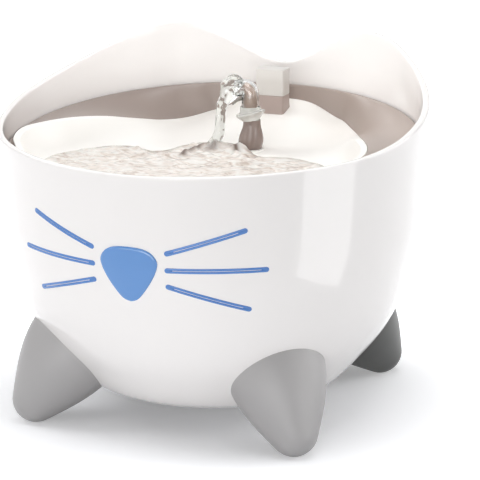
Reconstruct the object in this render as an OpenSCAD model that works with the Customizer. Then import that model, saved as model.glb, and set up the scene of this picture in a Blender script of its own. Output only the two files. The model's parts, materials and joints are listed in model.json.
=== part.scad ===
// Pet water fountain: a round bowl with two ear-shaped humps, four cone feet, a lit nose and
// whiskers. A tilted deck rests inside the bowl and carries the drinking tray and its spout;
// a pump in a filter cup on the bowl's floor feeds the spout.
// Millimetres, +Z up. The nose looks along -Y, +X is to the right seen from the front, and
// the origin is on the floor under the middle of the bowl.

/* [Bowl] */
// Wall of the bowl
bowl_wall = 2.8; // [2.4:0.1:3.4]
// Height of the bowl's underside above the floor
bowl_lift = 14.2; // [12:0.2:18]
// Inner radius of the straight upper wall
throat_r = 122.2; // [122:0.1:122.8]
// Thickness of the ledge that carries the deck
ledge_t = 4; // [3:0.5:6]
// Width of the ledge that carries the deck
ledge_w = 2.6; // [2.3:0.1:2.7]

/* [Deck] */
// Gap between the deck's edge and the bowl's wall
deck_gap = 0.8; // [0.5:0.1:1.2]
// Thickness of the deck
deck_t = 5; // [4:0.5:6]
// Height of the deck's top surface at the middle of the bowl
deck_z = 158.4; // [155:0.2:160]
// Slope of the deck, rising towards the ears, in degrees
deck_tilt = 6.1; // [5:0.1:7]
// Thickness of the soft ring round the deck's lower edge
ring_t = 0.35; // [0.2:0.05:0.4]

/* [Drinking tray] */
// Water line in the tray
pool_z = 148; // [147:0.25:148.5]
// Lowest point of the tray's basin
basin_z = 137; // [135:0.5:140]
// Middle of the basin, in front of the middle of the bowl
basin_y = 42; // [38:1:46]
// Wall of the tray
tray_wall = 2.2; // [2:0.1:2.6]
// Thickness of the tray's lip at its edge
lip_t = 1.8; // [1.6:0.1:2.2]
// Width of the tray's lip, which rests on the deck's step
lip_w = 4; // [3.5:0.1:5]
// Drop of the lip's top surface towards the basin
lip_drop = 1.2; // [0.8:0.1:1.6]
// Distance from the deck's edge to the widest part of the tray
tray_margin = 4.8; // [4.4:0.1:5.6]
// Radius of the level pad round the spout's foot
pad_r = 8.4; // [8:0.2:10]

/* [Spout] */
// Spout axis, to the right of the middle
spout_x = 13; // [11:0.5:14]
// Spout axis, behind the middle
spout_y = 28; // [27:0.5:30]
// Radius of the riser pipe
riser_r = 4; // [3.6:0.1:4.4]
// Bore radius of the riser pipe
riser_bore = 2.7; // [2.4:0.1:3]
// Radius of the stem where it meets the tray
stem_r = 7.5; // [7:0.1:8]
// Height of the stem's shoulder
stem_top = 163; // [161:0.5:165]
// Radius of the nozzle's collar
collar_r = 8.5; // [8:0.1:9]
// Height of the clear nozzle above the stem's shoulder
nozzle_h = 27; // [25:0.5:29]
// Reach of the nozzle's mouth from the spout axis
nozzle_reach = 11.5; // [10:0.5:13]

/* [Connector tower] */
// Distance from the tray's back edge to the middle of the tower
tower_back = 16.6; // [15.6:0.2:17.6]
// Side of the square tower
tower_w = 16; // [15.5:0.1:16.4]
// Radius of the tower's upright edges
tower_edge = 3.2; // [2.6:0.2:4]
// Height of the seam between tower and cap
tower_seam = 168.2; // [167:0.2:170]
// Height of the cap
cap_h = 16.3; // [15:0.1:18]
// Wall of the tower and the cap
tower_wall = 1.6; // [1.4:0.1:1.8]
// Top of the plate that carries the tower under the tray
plate_z = 152.6; // [152:0.1:152.8]
// Thickness of that plate
plate_t = 3.2; // [2.8:0.1:3.6]

/* [Nose and whiskers] */
// Height of the nose's centre
nose_z = 108.3; // [106:0.5:110]
// How far the nose stands proud of the bowl
nose_proud = 1.2; // [0.6:0.1:1.6]
// Width of a whisker
whisker_w = 3; // [2.6:0.1:3.4]
// How far a whisker stands proud of the bowl
whisker_proud = 0.4; // [0.2:0.1:0.8]
// Depth of the pockets for the nose and whiskers
inlay_depth = 1.2; // [0.8:0.1:1.4]
// Radius of the lens plug behind the nose
plug_r = 9; // [8:0.5:10]
// Radius of the sealed light pod
pod_r = 13.5; // [12.5:0.5:15]

/* [Feet] */
// How far inside the bowl's wall the front feet touch the floor
foot_inset = 11; // [9:0.2:12]
// How far inside the bowl's wall the back feet touch the floor
back_inset = 5.4; // [4.4:0.2:8]
// Azimuth of the front feet from the nose
foot_azimuth = 46; // [44:1:48]
// Azimuth of the back feet from the nose
back_azimuth = 138.6; // [136:0.2:140]
// Radius of a foot's round tip
foot_tip = 13.8; // [12:0.2:15]
// Slope of a foot's axis above the floor
foot_slope = 50.8; // [48:0.2:54]
// Depth of the flat that a foot stands on
foot_flat = 0.8; // [0.6:0.1:1.2]

/* [Pump and filter] */
// Radius of the filter cup
cup_r = 52; // [51:0.5:53]
// Wall of the filter cup
cup_wall = 2; // [1.6:0.1:2.4]
// Top of the filter cup
cup_top = 70; // [68:0.5:74]
// Filter cup centre, to the right of the middle
cup_x = 10; // [9:0.5:11]
// Distance from the middle to the back of the filter cup
cup_back = 58; // [57.5:0.5:59]
// Height of the pump's axis above the filter cup's floor
pump_axis_h = 23; // [22.5:0.5:24]
// Width of the pump
pump_w = 34; // [33:0.5:35]
// Height of the pump's casing
pump_h = 36; // [35:0.5:37]
// Radius of the impeller
impeller_r = 11; // [10:0.5:11.5]
// Number of impeller blades
blades = 6; // [4:1:8]
// Radius of the rotor magnet
magnet_r = 5.6; // [5.2:0.1:5.8]
// Radius of the rotor shaft
shaft_r = 1; // [0.8:0.1:1.2]

/* [Leads] */
// Diameter of the low-voltage leads
lead_d = 3.6; // [3:0.2:4]
// Height of the cable grommet and of the nose light's lead
grommet_z = 132; // [128:0.5:134]
// Bore radius of the cable grommet
grommet_bore = 2.2; // [2:0.1:2.4]

/* [Hidden] */

$fn = 96;
eps = 0.01;
// Gap between flat faces that rest on each other
seat = 0.1;
// Running clearance on a radius
run = 0.06;
// Gap between curved faces of pieces that come apart
slip = 0.3;
// Gap between pieces pressed or glued into one another
snug = 0.05;

// Ratio of the bowl's width to the width for which the tables below give the shapes
wide = throat_r / 122.2;
deck_r = throat_r - deck_gap;
tray_reach = deck_r - tray_margin;
tower_y = tray_reach - tower_back;
foot_circle = throat_r - foot_inset;
back_circle = throat_r - back_inset;
cup_y = cup_back - cup_r;
pump_y0 = spout_y - 9;
pump_y1 = spout_y + 22;
pad_z = pool_z + 0.9;
gasket_t2 = 1.6;
seal_t = 1.4;
// Points of the bowl's outer wall, [radius, height above the underside]
bowl_table = [
  [0, 0], [36, 0], [50, 0], [60, 0.3], [70, 2.4], [79.3, 8], [92, 21.8], [104, 37.3], [113, 55.8],
  [118.6, 75.8], [122.3, 95.8], [123.9, 115.8], [125, 135.8], [126, 155.8], [126.1, 173.8],
  [124.6, 197.8]
];
// Height of the rim round half the bowl, [azimuth from the nose, height]; the first and last
// points lie past the two ends of the half and make both ends level
rim_curve = [
  [-20, 164.2], [0, 163.4], [20, 164.2], [40, 165.5], [60, 167.5], [75, 170.8], [90, 176.5],
  [100, 180.7], [110, 186.3], [120, 192.6], [130, 200], [140, 207.4], [149, 210],
  [155, 208.3], [162, 202.6], [170, 193.3], [176, 186.8], [180, 185], [184, 186.8]
];
// The tray every 10 degrees round the bowl, from the back to the front: [radius and height of
// its edge, then x and y of the water line]
tray_table = [
  [118.3, 163, 0, 15], [118.3, 161.7, 9, 15], [118, 154.4, 19, 14.5], [109.8, 150.6, 28, 14],
  [100.2, 151.6, 37, 13.5], [92.2, 155, 45, 13], [87.3, 158.3, 53, 11], [85.6, 161.4, 61, 7.5],
  [87.4, 163.6, 69, 2.5], [93.2, 165, 77, -4], [102.5, 165.3, 84, -15], [112, 165.2, 88, -30],
  [116.5, 163, 88, -46], [118, 160, 83, -62], [118, 157, 72, -77], [118, 155, 56, -89],
  [118, 153.8, 38, -98], [118, 153.2, 19, -103], [118, 153, 0, -104]
];
bowl_curve = [for (q = bowl_table) [q[0] * wide, q[1]]];
tray_rows = [for (q = tray_table) [q[0] * wide, q[1], q[2] * wide, q[3] * wide]];
// Right half of the nose's outline round its centre, from top to bottom
nose_half = [[0, 15.2], [8, 14.6], [13.5, 12.2], [16.7, 7.6], [16, 2.5], [12.8, -4], [8, -11], [4, -15.3],
  [0, -16.7]];
// Whiskers, [azimuth, height] of the outer and the inner end
whisker_ends = [
  [[30, 134.4], [10.4, 121.1]],
  [[35.7, 111.9], [10.4, 111.4]],
  [[31.6, 88.9], [10.5, 101.9]]
];
// A foot's profile above its round tip, [radius, distance along the axis from the tip's centre]
foot_curve = [[18.2, 5], [22.8, 15], [26.6, 26], [28.6, 38], [28.9, 54], [26.5, 76]];

// Underside of the soft ring that seals the stem under the tray
gasket_low = pool_z - tray_wall - gasket_t2 - snug;

// ---- curves

// Slope of a table of [x, y] points at point i
function slope_at(p, i) =
  let (n = len(p), a = max(0, i - 1), b = min(n - 1, i + 1)) (p[b][1] - p[a][1]) / (p[b][0] - p[a][0]);
// Smooth curve through a table of [x, y] points, at x
function curve_at(p, x) =
  let (
    i = min(len(p) - 2, max([for (k = [0:len(p) - 2]) if (p[k][0] <= x) k])),
    h = p[i + 1][0] - p[i][0], t = (x - p[i][0]) / h,
    m0 = slope_at(p, i) * h, m1 = slope_at(p, i + 1) * h
  )
  (2 * t ^ 3 - 3 * t ^ 2 + 1) * p[i][1] + (t ^ 3 - 2 * t ^ 2 + t) * m0
  + (3 * t ^ 2 - 2 * t ^ 3) * p[i + 1][1] + (t ^ 3 - t ^ 2) * m1;
// Smooth open path through points, with steps points to each stretch
function path_through(p, steps) =
  let (n = len(p))
  concat([
    for (i = [0:n - 2], k = [0:steps - 1])
      let (
        a = p[max(0, i - 1)], b = p[i], c = p[i + 1], d = p[min(n - 1, i + 2)], t = k / steps
      )
      0.5 * (2 * b + (c - a) * t + (2 * a - 5 * b + 4 * c - d) * t ^ 2 + (3 * b - a - 3 * c + d) * t ^ 3)
  ], [p[n - 1]]);
// A path in the [radius, height] plane, moved sideways by d, away from the axis
function moved_path(p, d) = [
  for (i = [0:len(p) - 1])
    let (t = p[min(len(p) - 1, i + 1)] - p[max(0, i - 1)], u = t / norm(t))
    [max(0, p[i][0] + d * u[1]), p[i][1] - d * u[0]]
];

// ---- bowl

bowl_path = [for (q = path_through(bowl_curve, 5)) [q[0], max(0, q[1]) + bowl_lift]];
bowl_top = bowl_path[len(bowl_path) - 1][1];
bowl_floor = bowl_lift + bowl_wall;
// Outer radius of the bowl at height z
function bowl_r(z) = lookup(z, [for (q = bowl_path) if (q[0] > 45 * wide) [q[1], q[0]]]);
// Outline of the solid that the bowl's wall encloses, moved out by d
function bowl_outline(d) =
  let (p = moved_path(bowl_path, d)) concat(p, [[0, p[len(p) - 1][1]]]);
inner_path = [
  for (q = moved_path(bowl_path, -bowl_wall)) [min(q[0], throat_r), q[1]]
];

module bowl_solid(grow = 0) {
  rotate_extrude() polygon(bowl_outline(grow));
}
module bowl_inside() {
  rotate_extrude() polygon(concat(inner_path, [[throat_r, bowl_top + 1], [0, bowl_top + 1]]));
}

// Everything above the rim: its lower face is level across the wall and follows rim_curve
module above_rim() {
  n = 120;
  r0 = throat_r - 12;
  r1 = throat_r + 14;
  top = bowl_top + 5;
  az = [for (i = [0:n - 1]) i * 360 / n];
  h = [for (a = az) curve_at(rim_curve, min(a, 360 - a))];
  low_in = [for (i = [0:n - 1]) [r0 * sin(az[i]), -r0 * cos(az[i]), h[i]]];
  low_out = [for (i = [0:n - 1]) [r1 * sin(az[i]), -r1 * cos(az[i]), h[i]]];
  top_in = [for (q = low_in) [q[0], q[1], top]];
  top_out = [for (q = low_out) [q[0], q[1], top]];
  faces = [
    for (i = [0:n - 1]) let (j = (i + 1) % n) each [
      [i, n + i, j], [n + i, n + j, j],
      [2 * n + i, 2 * n + j, 3 * n + i], [3 * n + i, 2 * n + j, 3 * n + j],
      [i, j, 2 * n + i], [j, 2 * n + j, 2 * n + i],
      [n + i, 3 * n + i, n + j], [n + j, 3 * n + i, 3 * n + j]
    ]
  ];
  polyhedron(points = concat(low_in, low_out, top_in, top_out), faces = faces);
}

// The space between two planes that are parallel to the deck, from below to above its top face
module deck_slab(low, high) {
  translate([0, 0, deck_z]) rotate([deck_tilt, 0, 0])
    translate([-throat_r - 20, -throat_r - 20, low])
      cube([2 * throat_r + 40, 2 * throat_r + 40, high - low]);
}
function deck_top(y) = deck_z + y * tan(deck_tilt);

// ---- inlays

module nose_shape(grow = 0) {
  k = (17 + grow) / 17;
  half = path_through(nose_half, 4);
  left = [for (i = [len(half) - 2:-1:1]) [-half[i][0], half[i][1]]];
  polygon([for (q = concat(half, left)) k * q]);
}
// A prism along the radius at an azimuth, from its axis outwards
module radial_prism(azimuth, z) {
  translate([0, 0, z]) rotate([90, 0, azimuth]) linear_extrude(throat_r + 20) children();
}
// A thin skin of the bowl, from depth below its surface to height above it
module bowl_skin(depth, height, low, high) {
  skin = [for (q = bowl_path) if (q[1] > low && q[1] < high) q];
  back = [for (i = [len(skin) - 1:-1:0]) skin[i] - [depth, 0]];
  rotate_extrude() polygon(concat([for (q = skin) q + [height, 0]], back));
}
skin_low = bowl_lift + 50;
skin_high = bowl_lift + 140;

module whisker_shape(k, side, grow = 0) {
  outer = whisker_ends[k][0];
  inner = whisker_ends[k][1];
  mid = (outer[0] + inner[0]) / 2;
  z_mid = (outer[1] + inner[1]) / 2;
  a = side * bowl_r(outer[1]) * sin(outer[0] - mid);
  b = side * bowl_r(inner[1]) * sin(inner[0] - mid);
  rise = outer[1] - inner[1];
  len_w = norm([a - b, rise]);
  r = whisker_w / 2 + grow;
  radial_prism(side * mid, z_mid)
    translate([(a + b) / 2, 0]) rotate(atan2(rise, a - b)) {
      square([len_w, 2 * r], center = true);
      for (s = [-1, 1]) translate([s * len_w / 2, 0]) circle(r, $fn = 24);
    }
}
module whisker(k, side) {
  color([0.33, 0.51, 0.77]) intersection() {
    bowl_skin(inlay_depth - snug, whisker_proud, skin_low, skin_high);
    whisker_shape(k, side);
  }
}
module front_half() {
  translate([-throat_r, -throat_r - 20, 0]) cube([2 * throat_r, throat_r + 20, bowl_top]);
}

// ---- feet

foot_profile = concat(
  [for (a = [-90:10:-40]) foot_tip * [cos(a), sin(a)]],
  path_through(concat([foot_tip * [cos(30), -sin(30)]], foot_curve), 4)
);
screw_r = 2;
screw_head_r = 4;
washer_t = 1;
// Distance along a foot's axis, from the tip's centre, at which the bowl's wall is crossed
function wall_cross(f) = min([
  for (t = [15:0.25:60])
    if (f[1] - t * cos(foot_slope) < bowl_r(foot_tip - foot_flat + t * sin(foot_slope))) t
]);
screw_depth = 14;

// Places its children on a foot's axis; a foot is [azimuth, distance from the middle]
module at_foot(f) {
  rotate([0, 0, f[0]]) translate([0, -f[1], foot_tip - foot_flat])
    rotate([foot_slope - 90, 0, 0]) children();
}
module foot(f) {
  color([0.66, 0.65, 0.65]) difference() {
    at_foot(f) rotate_extrude() polygon(concat(foot_profile, [[0, foot_profile[len(foot_profile) - 1][1]]]));
    bowl_solid(snug);
    translate([-2 * throat_r, -2 * throat_r, -50]) cube([4 * throat_r, 4 * throat_r, 50]);
    at_foot(f) translate([0, 0, wall_cross(f) - screw_depth]) cylinder(r = screw_r, h = 40);
  }
}
feet = [
  [-foot_azimuth, foot_circle], [foot_azimuth, foot_circle],
  [-back_azimuth, back_circle], [back_azimuth, back_circle]
];
function screw_seat(f) = wall_cross(f) + 7;

// ---- the node modules

module bowl() {
  color([0.93, 0.93, 0.93]) difference() {
    union() {
      difference() {
        bowl_solid();
        bowl_inside();
      }
      intersection() {
        difference() {
          cylinder(r = throat_r + 1, h = bowl_top);
          translate([0, 0, -1]) cylinder(r = throat_r - ledge_w, h = bowl_top + 2);
        }
        deck_slab(-deck_t - ledge_t - seat, -deck_t - seat);
      }
      for (f = feet) intersection() {
        at_foot(f) cylinder(r = screw_head_r + 2.5, h = screw_seat(f));
        bowl_solid(-1);
      }
    }
    above_rim();
    intersection() {
      bowl_skin(inlay_depth, 5, skin_low, skin_high);
      front_half();
      union() {
        radial_prism(0, nose_z) nose_shape(snug);
        for (k = [0:2], side = [-1, 1]) whisker_shape(k, side, snug);
      }
    }
    radial_prism(0, nose_z) circle(plug_r + 1);
    translate([0, 0, grommet_z]) rotate([-90, 0, 0])
      translate([0, 0, throat_r - 10]) cylinder(r = grommet_neck, h = 40);
    for (f = feet) at_foot(f) cylinder(r = screw_r + snug, h = 60);
  }
}

module nose_lens() {
  color([0.33, 0.57, 0.84, 0.9]) {
    intersection() {
      bowl_skin(inlay_depth - snug, nose_proud, skin_low, skin_high);
      radial_prism(0, nose_z) nose_shape();
      front_half();
    }
    difference() {
      intersection() {
        radial_prism(0, nose_z) circle(plug_r);
        translate([-20, -throat_r - 10, nose_z - 20]) cube([40, plug_end + 10 - 0, 40]);
      }
      difference() {
        translate([-30, -throat_r - 20, nose_z - 30]) cube([60, 40, 60]);
        bowl_solid(-inlay_depth + 0.2);
      }
    }
  }
}
// How far the lens plug reaches in from the straight wall's radius
plug_end = 7;

module nose_gasket() {
  color([0.2, 0.2, 0.22]) intersection() {
    difference() {
      radial_prism(0, nose_z) circle(pod_r);
      radial_prism(0, nose_z) circle(plug_r + 1);
    }
    gasket_band(0, gasket_t);
  }
}
gasket_t = 1.2;
// A band along the bowl's inner wall at the nose, from a to b inside that wall
module gasket_band(a, b) {
  intersection() {
    difference() {
      bowl_solid(-bowl_wall - a - snug);
      bowl_solid(-bowl_wall - b);
    }
    translate([-30, -throat_r - 20, nose_z - 30]) cube([60, 50, 60]);
  }
}

pod_depth = 15;
module light_pod() {
  color([0.85, 0.86, 0.88]) difference() {
    intersection() {
      radial_prism(0, nose_z) circle(pod_r);
      bowl_solid(-bowl_wall - gasket_t - snug);
      translate([-30, -throat_r - 20, nose_z - 30]) cube([60, 20 + pod_depth + 4, 60]);
    }
    translate([-30, 0, nose_z]) rotate([90, 0, 0])
      translate([30, 0, throat_r - pod_depth - 2.4]) cylinder(r = pod_r - 1.6, h = 40);
    translate([0, lead_out_y, nose_z]) cylinder(d = lead_d + 2 * snug, h = 30);
  }
}
lead_out_y = -throat_r + pod_depth - 2;

board_y = -throat_r + pod_depth - 1;
module light_board() {
  color([0.1, 0.45, 0.25]) difference() {
    translate([0, board_y, nose_z]) rotate([90, 0, 0]) cylinder(r = pod_r - 1.8, h = 1.6);
    translate([0, lead_out_y, nose_z]) cylinder(d = lead_d + 2 * snug, h = 30);
  }
}
module nose_leds() {
  color([0.95, 0.95, 0.8]) for (q = [[0, 4.2], [-4, -3], [4, -3]])
    translate([q[0], board_y - 1.6 - snug, nose_z + q[1]]) rotate([90, 0, 0]) {
      cylinder(r = 1.5, h = 1.4, $fn = 32);
      translate([0, 0, 1.4]) sphere(1.5, $fn = 32);
    }
}

module foot_screws() {
  color([0.75, 0.76, 0.78]) for (f = feet) at_foot(f) {
    translate([0, 0, wall_cross(f) - screw_depth + 1])
      cylinder(r = screw_r - snug, h = 7 + washer_t + screw_depth - 1);
    translate([0, 0, screw_seat(f) + washer_t]) difference() {
      cylinder(r = screw_head_r, h = 2.4);
      translate([0, 0, 1]) cylinder(r = 1.5, h = 3, $fn = 6);
    }
  }
}
module foot_washers() {
  color([0.2, 0.2, 0.2]) for (f = feet) at_foot(f)
    translate([0, 0, screw_seat(f)]) difference() {
      cylinder(r = screw_head_r, h = washer_t);
      translate([0, 0, -1]) cylinder(r = screw_r, h = 4);
    }
}

// ---- filter cup

cup_floor = bowl_floor + cup_wall;
pump_z = cup_floor + pump_axis_h;
cup_foot_r = cup_r - 9;
module cup_slots() {
  for (a = [-100:10:100]) translate([cup_x, cup_y, 0]) rotate([0, 0, a])
    translate([-1.2, -cup_r - 5, cup_floor + 7]) cube([2.4, 12, cup_top - cup_floor - 16]);
}
module filter_cup() {
  color([0.82, 0.84, 0.86]) difference() {
    translate([cup_x, cup_y, 0]) rotate_extrude() polygon([
      [0, bowl_floor + seat], [cup_foot_r, bowl_floor + seat], [cup_r, bowl_floor + 5],
      [cup_r, cup_top], [cup_r - cup_wall, cup_top], [cup_r - cup_wall, bowl_floor + 6],
      [cup_foot_r - cup_wall + 1, cup_floor], [0, cup_floor]
    ]);
    cup_slots();
    translate([cup_x + lead_dx, cup_y + cup_r - 8, cup_top - 12])
      cube([lead_d + 2, 20, 14]);
  }
}
// Sideways place of the pump lead's notch in the cup
lead_dx = 8;
lid_t = 3;
lid_skirt = 4;
module filter_lid() {
  color([0.87, 0.89, 0.9]) difference() {
    translate([cup_x, cup_y, 0]) union() {
      translate([0, 0, cup_top + seat]) cylinder(r = cup_r, h = lid_t);
      difference() {
        translate([0, 0, cup_top - lid_skirt]) cylinder(r = cup_r - cup_wall - slip, h = lid_skirt + 1);
        translate([0, 0, cup_top - lid_skirt - 1])
          cylinder(r = cup_r - cup_wall - slip - 1.6, h = lid_skirt + 1 + seat);
      }
    }
    translate([spout_x, spout_y, cup_top - 10]) cylinder(r = riser_r + 1, h = 30);
    for (i = [-3:3]) translate([cup_x + 8 * i - 1.5, cup_y - 38, cup_top - 10]) cube([3, 44, 30]);
    translate([cup_x + lead_dx - 1, cup_y + cup_r - 12, cup_top - 12])
      cube([lead_d + 4, 20, 40]);
  }
}

foam_y1 = pump_y0 - 11;
foam_y0 = foam_y1 - 0.46 * cup_r;
// Room between the filter foam's corners and the cup
foam_room = 7.8;
foam_half = sqrt((cup_r - cup_wall - foam_room) ^ 2 - (cup_y - foam_y0) ^ 2);
media_top = cup_top - lid_skirt - 1;
module filter_foam() {
  color([0.25, 0.3, 0.36]) translate([cup_x - foam_half, foam_y0, cup_floor])
    cube([2 * foam_half, foam_y1 - foam_y0, media_top - cup_floor]);
}
carbon_w = 0.77 * cup_r;
carbon_t = 0.25 * cup_r;
carbon_y = foam_y0 - 1 - carbon_t;
module carbon_frame() {
  color([0.9, 0.9, 0.88]) translate([cup_x - carbon_w / 2, carbon_y, cup_floor]) difference() {
    cube([carbon_w, carbon_t, media_top - cup_floor]);
    translate([2, -1, 2]) cube([carbon_w - 4, carbon_t + 2, media_top - cup_floor - 4]);
  }
}
module carbon_pad() {
  color([0.12, 0.12, 0.13]) translate([cup_x - carbon_w / 2 + 2, carbon_y + 1.5, cup_floor + 2])
    cube([carbon_w - 4, carbon_t - 3, media_top - cup_floor - 4]);
}

// ---- pump, with its shaft along Y

cups_h = 3;
wall_y = spout_y + 4;
chamber_r = impeller_r + 2;
well_r = magnet_r + 0.6;
well_wall = 0.9;
pump_low = cup_floor + cups_h;
cover_t = 2.5;
module along_y(x, y, z) {
  translate([x, y, z]) rotate([-90, 0, 0]) children();
}
module at_pump(y) {
  along_y(spout_x, y, pump_z) children();
}
outlet_top = pump_low + pump_h + 7;
module pump_casing() {
  color([0.16, 0.17, 0.19]) difference() {
    union() {
      difference() {
        translate([spout_x - pump_w / 2, pump_y0, pump_low]) cube([pump_w, pump_y1 - cover_t - pump_y0, pump_h]);
        translate([spout_x - pump_w / 2 + 2, wall_y + 2, pump_low + 2])
          cube([pump_w - 4, pump_y1 - wall_y, pump_h - 4]);
      }
      at_pump(wall_y) cylinder(r = well_r + well_wall, h = well_depth + 1);
      translate([spout_x, spout_y, pump_low + pump_h - 1]) cylinder(r = riser_r + 2, h = 8);
    }
    at_pump(pump_y0 - 1) cylinder(r = chamber_r, h = wall_y - pump_y0 + 1);
    at_pump(wall_y - 1) cylinder(r = well_r, h = well_depth + 1);
    translate([spout_x, spout_y, pump_z]) cylinder(r = riser_bore, h = 60);
    translate([spout_x, spout_y, pump_low + pump_h]) cylinder(r = riser_r + snug, h = 20);
    translate([pump_lead_x, pump_lead_y, pump_low + pump_h - 6]) cylinder(d = lead_d + 2 * slip, h = 20);
  }
}
well_depth = 13;
pump_lead_x = spout_x + 9;
pump_lead_y = pump_y1 - 7;

module pump_back_cover() {
  color([0.2, 0.21, 0.23]) {
    translate([spout_x - pump_w / 2, pump_y1 - cover_t, pump_low]) cube([pump_w, cover_t, pump_h]);
    translate([spout_x - pump_w / 2 + 2 + snug, pump_y1 - cover_t - 1.5, pump_low + 2 + snug])
      difference() {
        cube([pump_w - 4 - 2 * snug, 2, pump_h - 4 - 2 * snug]);
        translate([1.2, -1, 1.2]) cube([pump_w - 6.4 - 2 * snug, 4, pump_h - 6.4 - 2 * snug]);
      }
  }
}
volute_t = 3;
intake_r = 6;
module pump_volute_cover() {
  color([0.2, 0.21, 0.23]) difference() {
    union() {
      difference() {
        translate([spout_x - pump_w / 2, pump_y0 - volute_t, pump_low]) cube([pump_w, volute_t, pump_h]);
        at_pump(pump_y0 - volute_t - 1) cylinder(r = intake_r, h = volute_t + 2);
      }
      for (a = [0:120:240]) at_pump(pump_y0 - volute_t) rotate([0, 0, a])
        translate([0, -0.8, 0]) cube([intake_r + 0.5, 1.6, volute_t]);
      at_pump(pump_y0 - volute_t) cylinder(r = bush_r + 1, h = volute_t);
    }
    at_pump(pump_y0 - 2) cylinder(r = bush_r, h = 10);
  }
}
bush_r = shaft_r + 0.9;

dial_t = 2.6;
dial_r = 14;
module flow_dial() {
  color([0.75, 0.77, 0.79]) difference() {
    union() {
      at_pump(pump_y0 - volute_t - seat - dial_t) cylinder(r = dial_r, h = dial_t);
      for (a = [20:20:340]) at_pump(pump_y0 - volute_t - seat - dial_t) rotate([0, 0, a])
        translate([dial_r, 0, 0]) cylinder(r = 0.9, h = dial_t, $fn = 24);
    }
    at_pump(pump_y0 - volute_t - dial_t - 1) intersection() {
      difference() {
        cylinder(r = intake_r, h = dial_t + 4);
        translate([0, 0, -1]) cylinder(r = bush_r + 1.6, h = dial_t + 6);
      }
      union() {
        translate([0, 0, -1]) cube([20, 20, 20]);
        translate([-20, -20, -1]) cube([20, 20, 20]);
      }
    }
  }
}

module suction_cups() {
  color([0.15, 0.15, 0.16]) for (sx = [-1, 1], y = [pump_y0 + 6, pump_y1 - 12])
    translate([spout_x + sx * (pump_w / 2 - 7), y, cup_floor]) rotate_extrude($fn = 48)
      polygon([[0, 0.8], [4, 0], [5.5, 0], [4, 1.4], [2.4, cups_h], [0, cups_h]]);
}

impeller_y0 = pump_y0 + 2;
hub_r = shaft_r + 1.4;
module impeller() {
  color([0.92, 0.92, 0.94]) {
    difference() {
      union() {
        at_pump(wall_y - 3) cylinder(r = impeller_r, h = 1.4);
        at_pump(impeller_y0) cylinder(r = hub_r, h = wall_y - impeller_y0 + 1);
        for (i = [0:blades - 1]) at_pump(impeller_y0) rotate([0, 0, i * 360 / blades])
          translate([hub_r - 0.6, -0.6, 0]) cube([impeller_r - hub_r + 0.2, 1.2, wall_y - 3 - impeller_y0 + 0.4]);
      }
      at_pump(pump_y0 - 5) cylinder(r = shaft_r + run, h = 40);
    }
  }
}
magnet_y0 = wall_y + 1;
magnet_l = well_depth - 3.2;
module rotor_magnet() {
  color([0.2, 0.2, 0.22]) difference() {
    at_pump(magnet_y0) cylinder(r = magnet_r, h = magnet_l);
    at_pump(magnet_y0 - 1) cylinder(r = shaft_r + run, h = magnet_l + 2);
  }
}
module rotor_shaft() {
  color([0.85, 0.85, 0.85])
    at_pump(pump_y0 - 2 + snug) cylinder(r = shaft_r, h = wall_y + well_depth - pump_y0 + 2 - 2 * snug);
}
module shaft_bushes() {
  color([0.8, 0.78, 0.7]) difference() {
    union() {
      at_pump(pump_y0 - 2) cylinder(r = bush_r - snug / 2, h = 3);
      at_pump(wall_y + well_depth - 1.8) cylinder(r = well_r - snug, h = 1.8);
    }
    at_pump(pump_y0 - 5) cylinder(r = shaft_r + snug / 2, h = 60);
  }
}

core_y = wall_y + 3;
core_l = 8;
core_w = 26;
bar_z = pump_low + 5;
module stator_core() {
  color([0.55, 0.56, 0.58]) difference() {
    translate([spout_x - core_w / 2, core_y, bar_z - 1.5]) cube([core_w, core_l, pump_z + 9 - bar_z + 1.5]);
    at_pump(core_y - 1) cylinder(r = well_r + well_wall + snug, h = core_l + 2);
    translate([spout_x - core_w / 2 + 4.5, core_y - 1, bar_z + 1.5])
      cube([core_w - 9, core_l + 2, pump_z - well_r - well_wall - 1.5 - bar_z - 1.5]);
  }
}
module stator_coil() {
  color([0.72, 0.42, 0.2]) difference() {
    translate([spout_x - core_w / 2 + 5, core_y - 0.8, bar_z - 2.8]) cube([core_w - 10, core_l + 1.6, 7.2]);
    translate([spout_x - core_w / 2, core_y - snug, bar_z - 1.5 - snug])
      cube([core_w, core_l + 2 * snug, 3 + 2 * snug]);
  }
}

// ---- riser and leads

// The riser ends under the soft seal on the stem's neck
riser_top = gasket_low - 1 - seal_t - seat;
module riser_pipe() {
  color([0.62, 0.55, 0.52]) translate([spout_x, spout_y, 0]) difference() {
    translate([0, 0, pump_low + pump_h + snug]) cylinder(r = riser_r, h = riser_top - pump_low - pump_h - snug);
    translate([0, 0, pump_low]) cylinder(r = riser_bore, h = riser_top);
  }
}

// A tube swept along points, with its rings square to the path
module swept_tube(path, d, sides = 10) {
  n = len(path);
  function dir(i) = let (v = path[min(n - 1, i + 1)] - path[max(0, i - 1)]) v / norm(v);
  function side_of(v) = abs(v[2]) > 0.9 ? cross(v, [1, 0, 0]) : cross(v, [0, 0, 1]);
  function frames(i, prev) =
    i == n ? []
    : let (v = dir(i), s = prev - (prev * v) * v, u = s / norm(s)) concat([[v, u]], frames(i + 1, u));
  start = side_of(dir(0));
  f = frames(0, start / norm(start));
  points = [
    for (i = [0:n - 1], k = [0:sides - 1])
      let (a = 360 * k / sides, w = cross(f[i][0], f[i][1]))
      path[i] + d / 2 * (cos(a) * f[i][1] + sin(a) * w)
  ];
  faces = concat(
    [[for (k = [0:sides - 1]) k]],
    [for (i = [0:n - 2], k = [0:sides - 1])
      let (a = i * sides + k, b = i * sides + (k + 1) % sides) [a, a + sides, b + sides, b]],
    [[for (k = [sides - 1:-1:0]) (n - 1) * sides + k]]
  );
  polyhedron(points = points, faces = faces);
}

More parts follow.
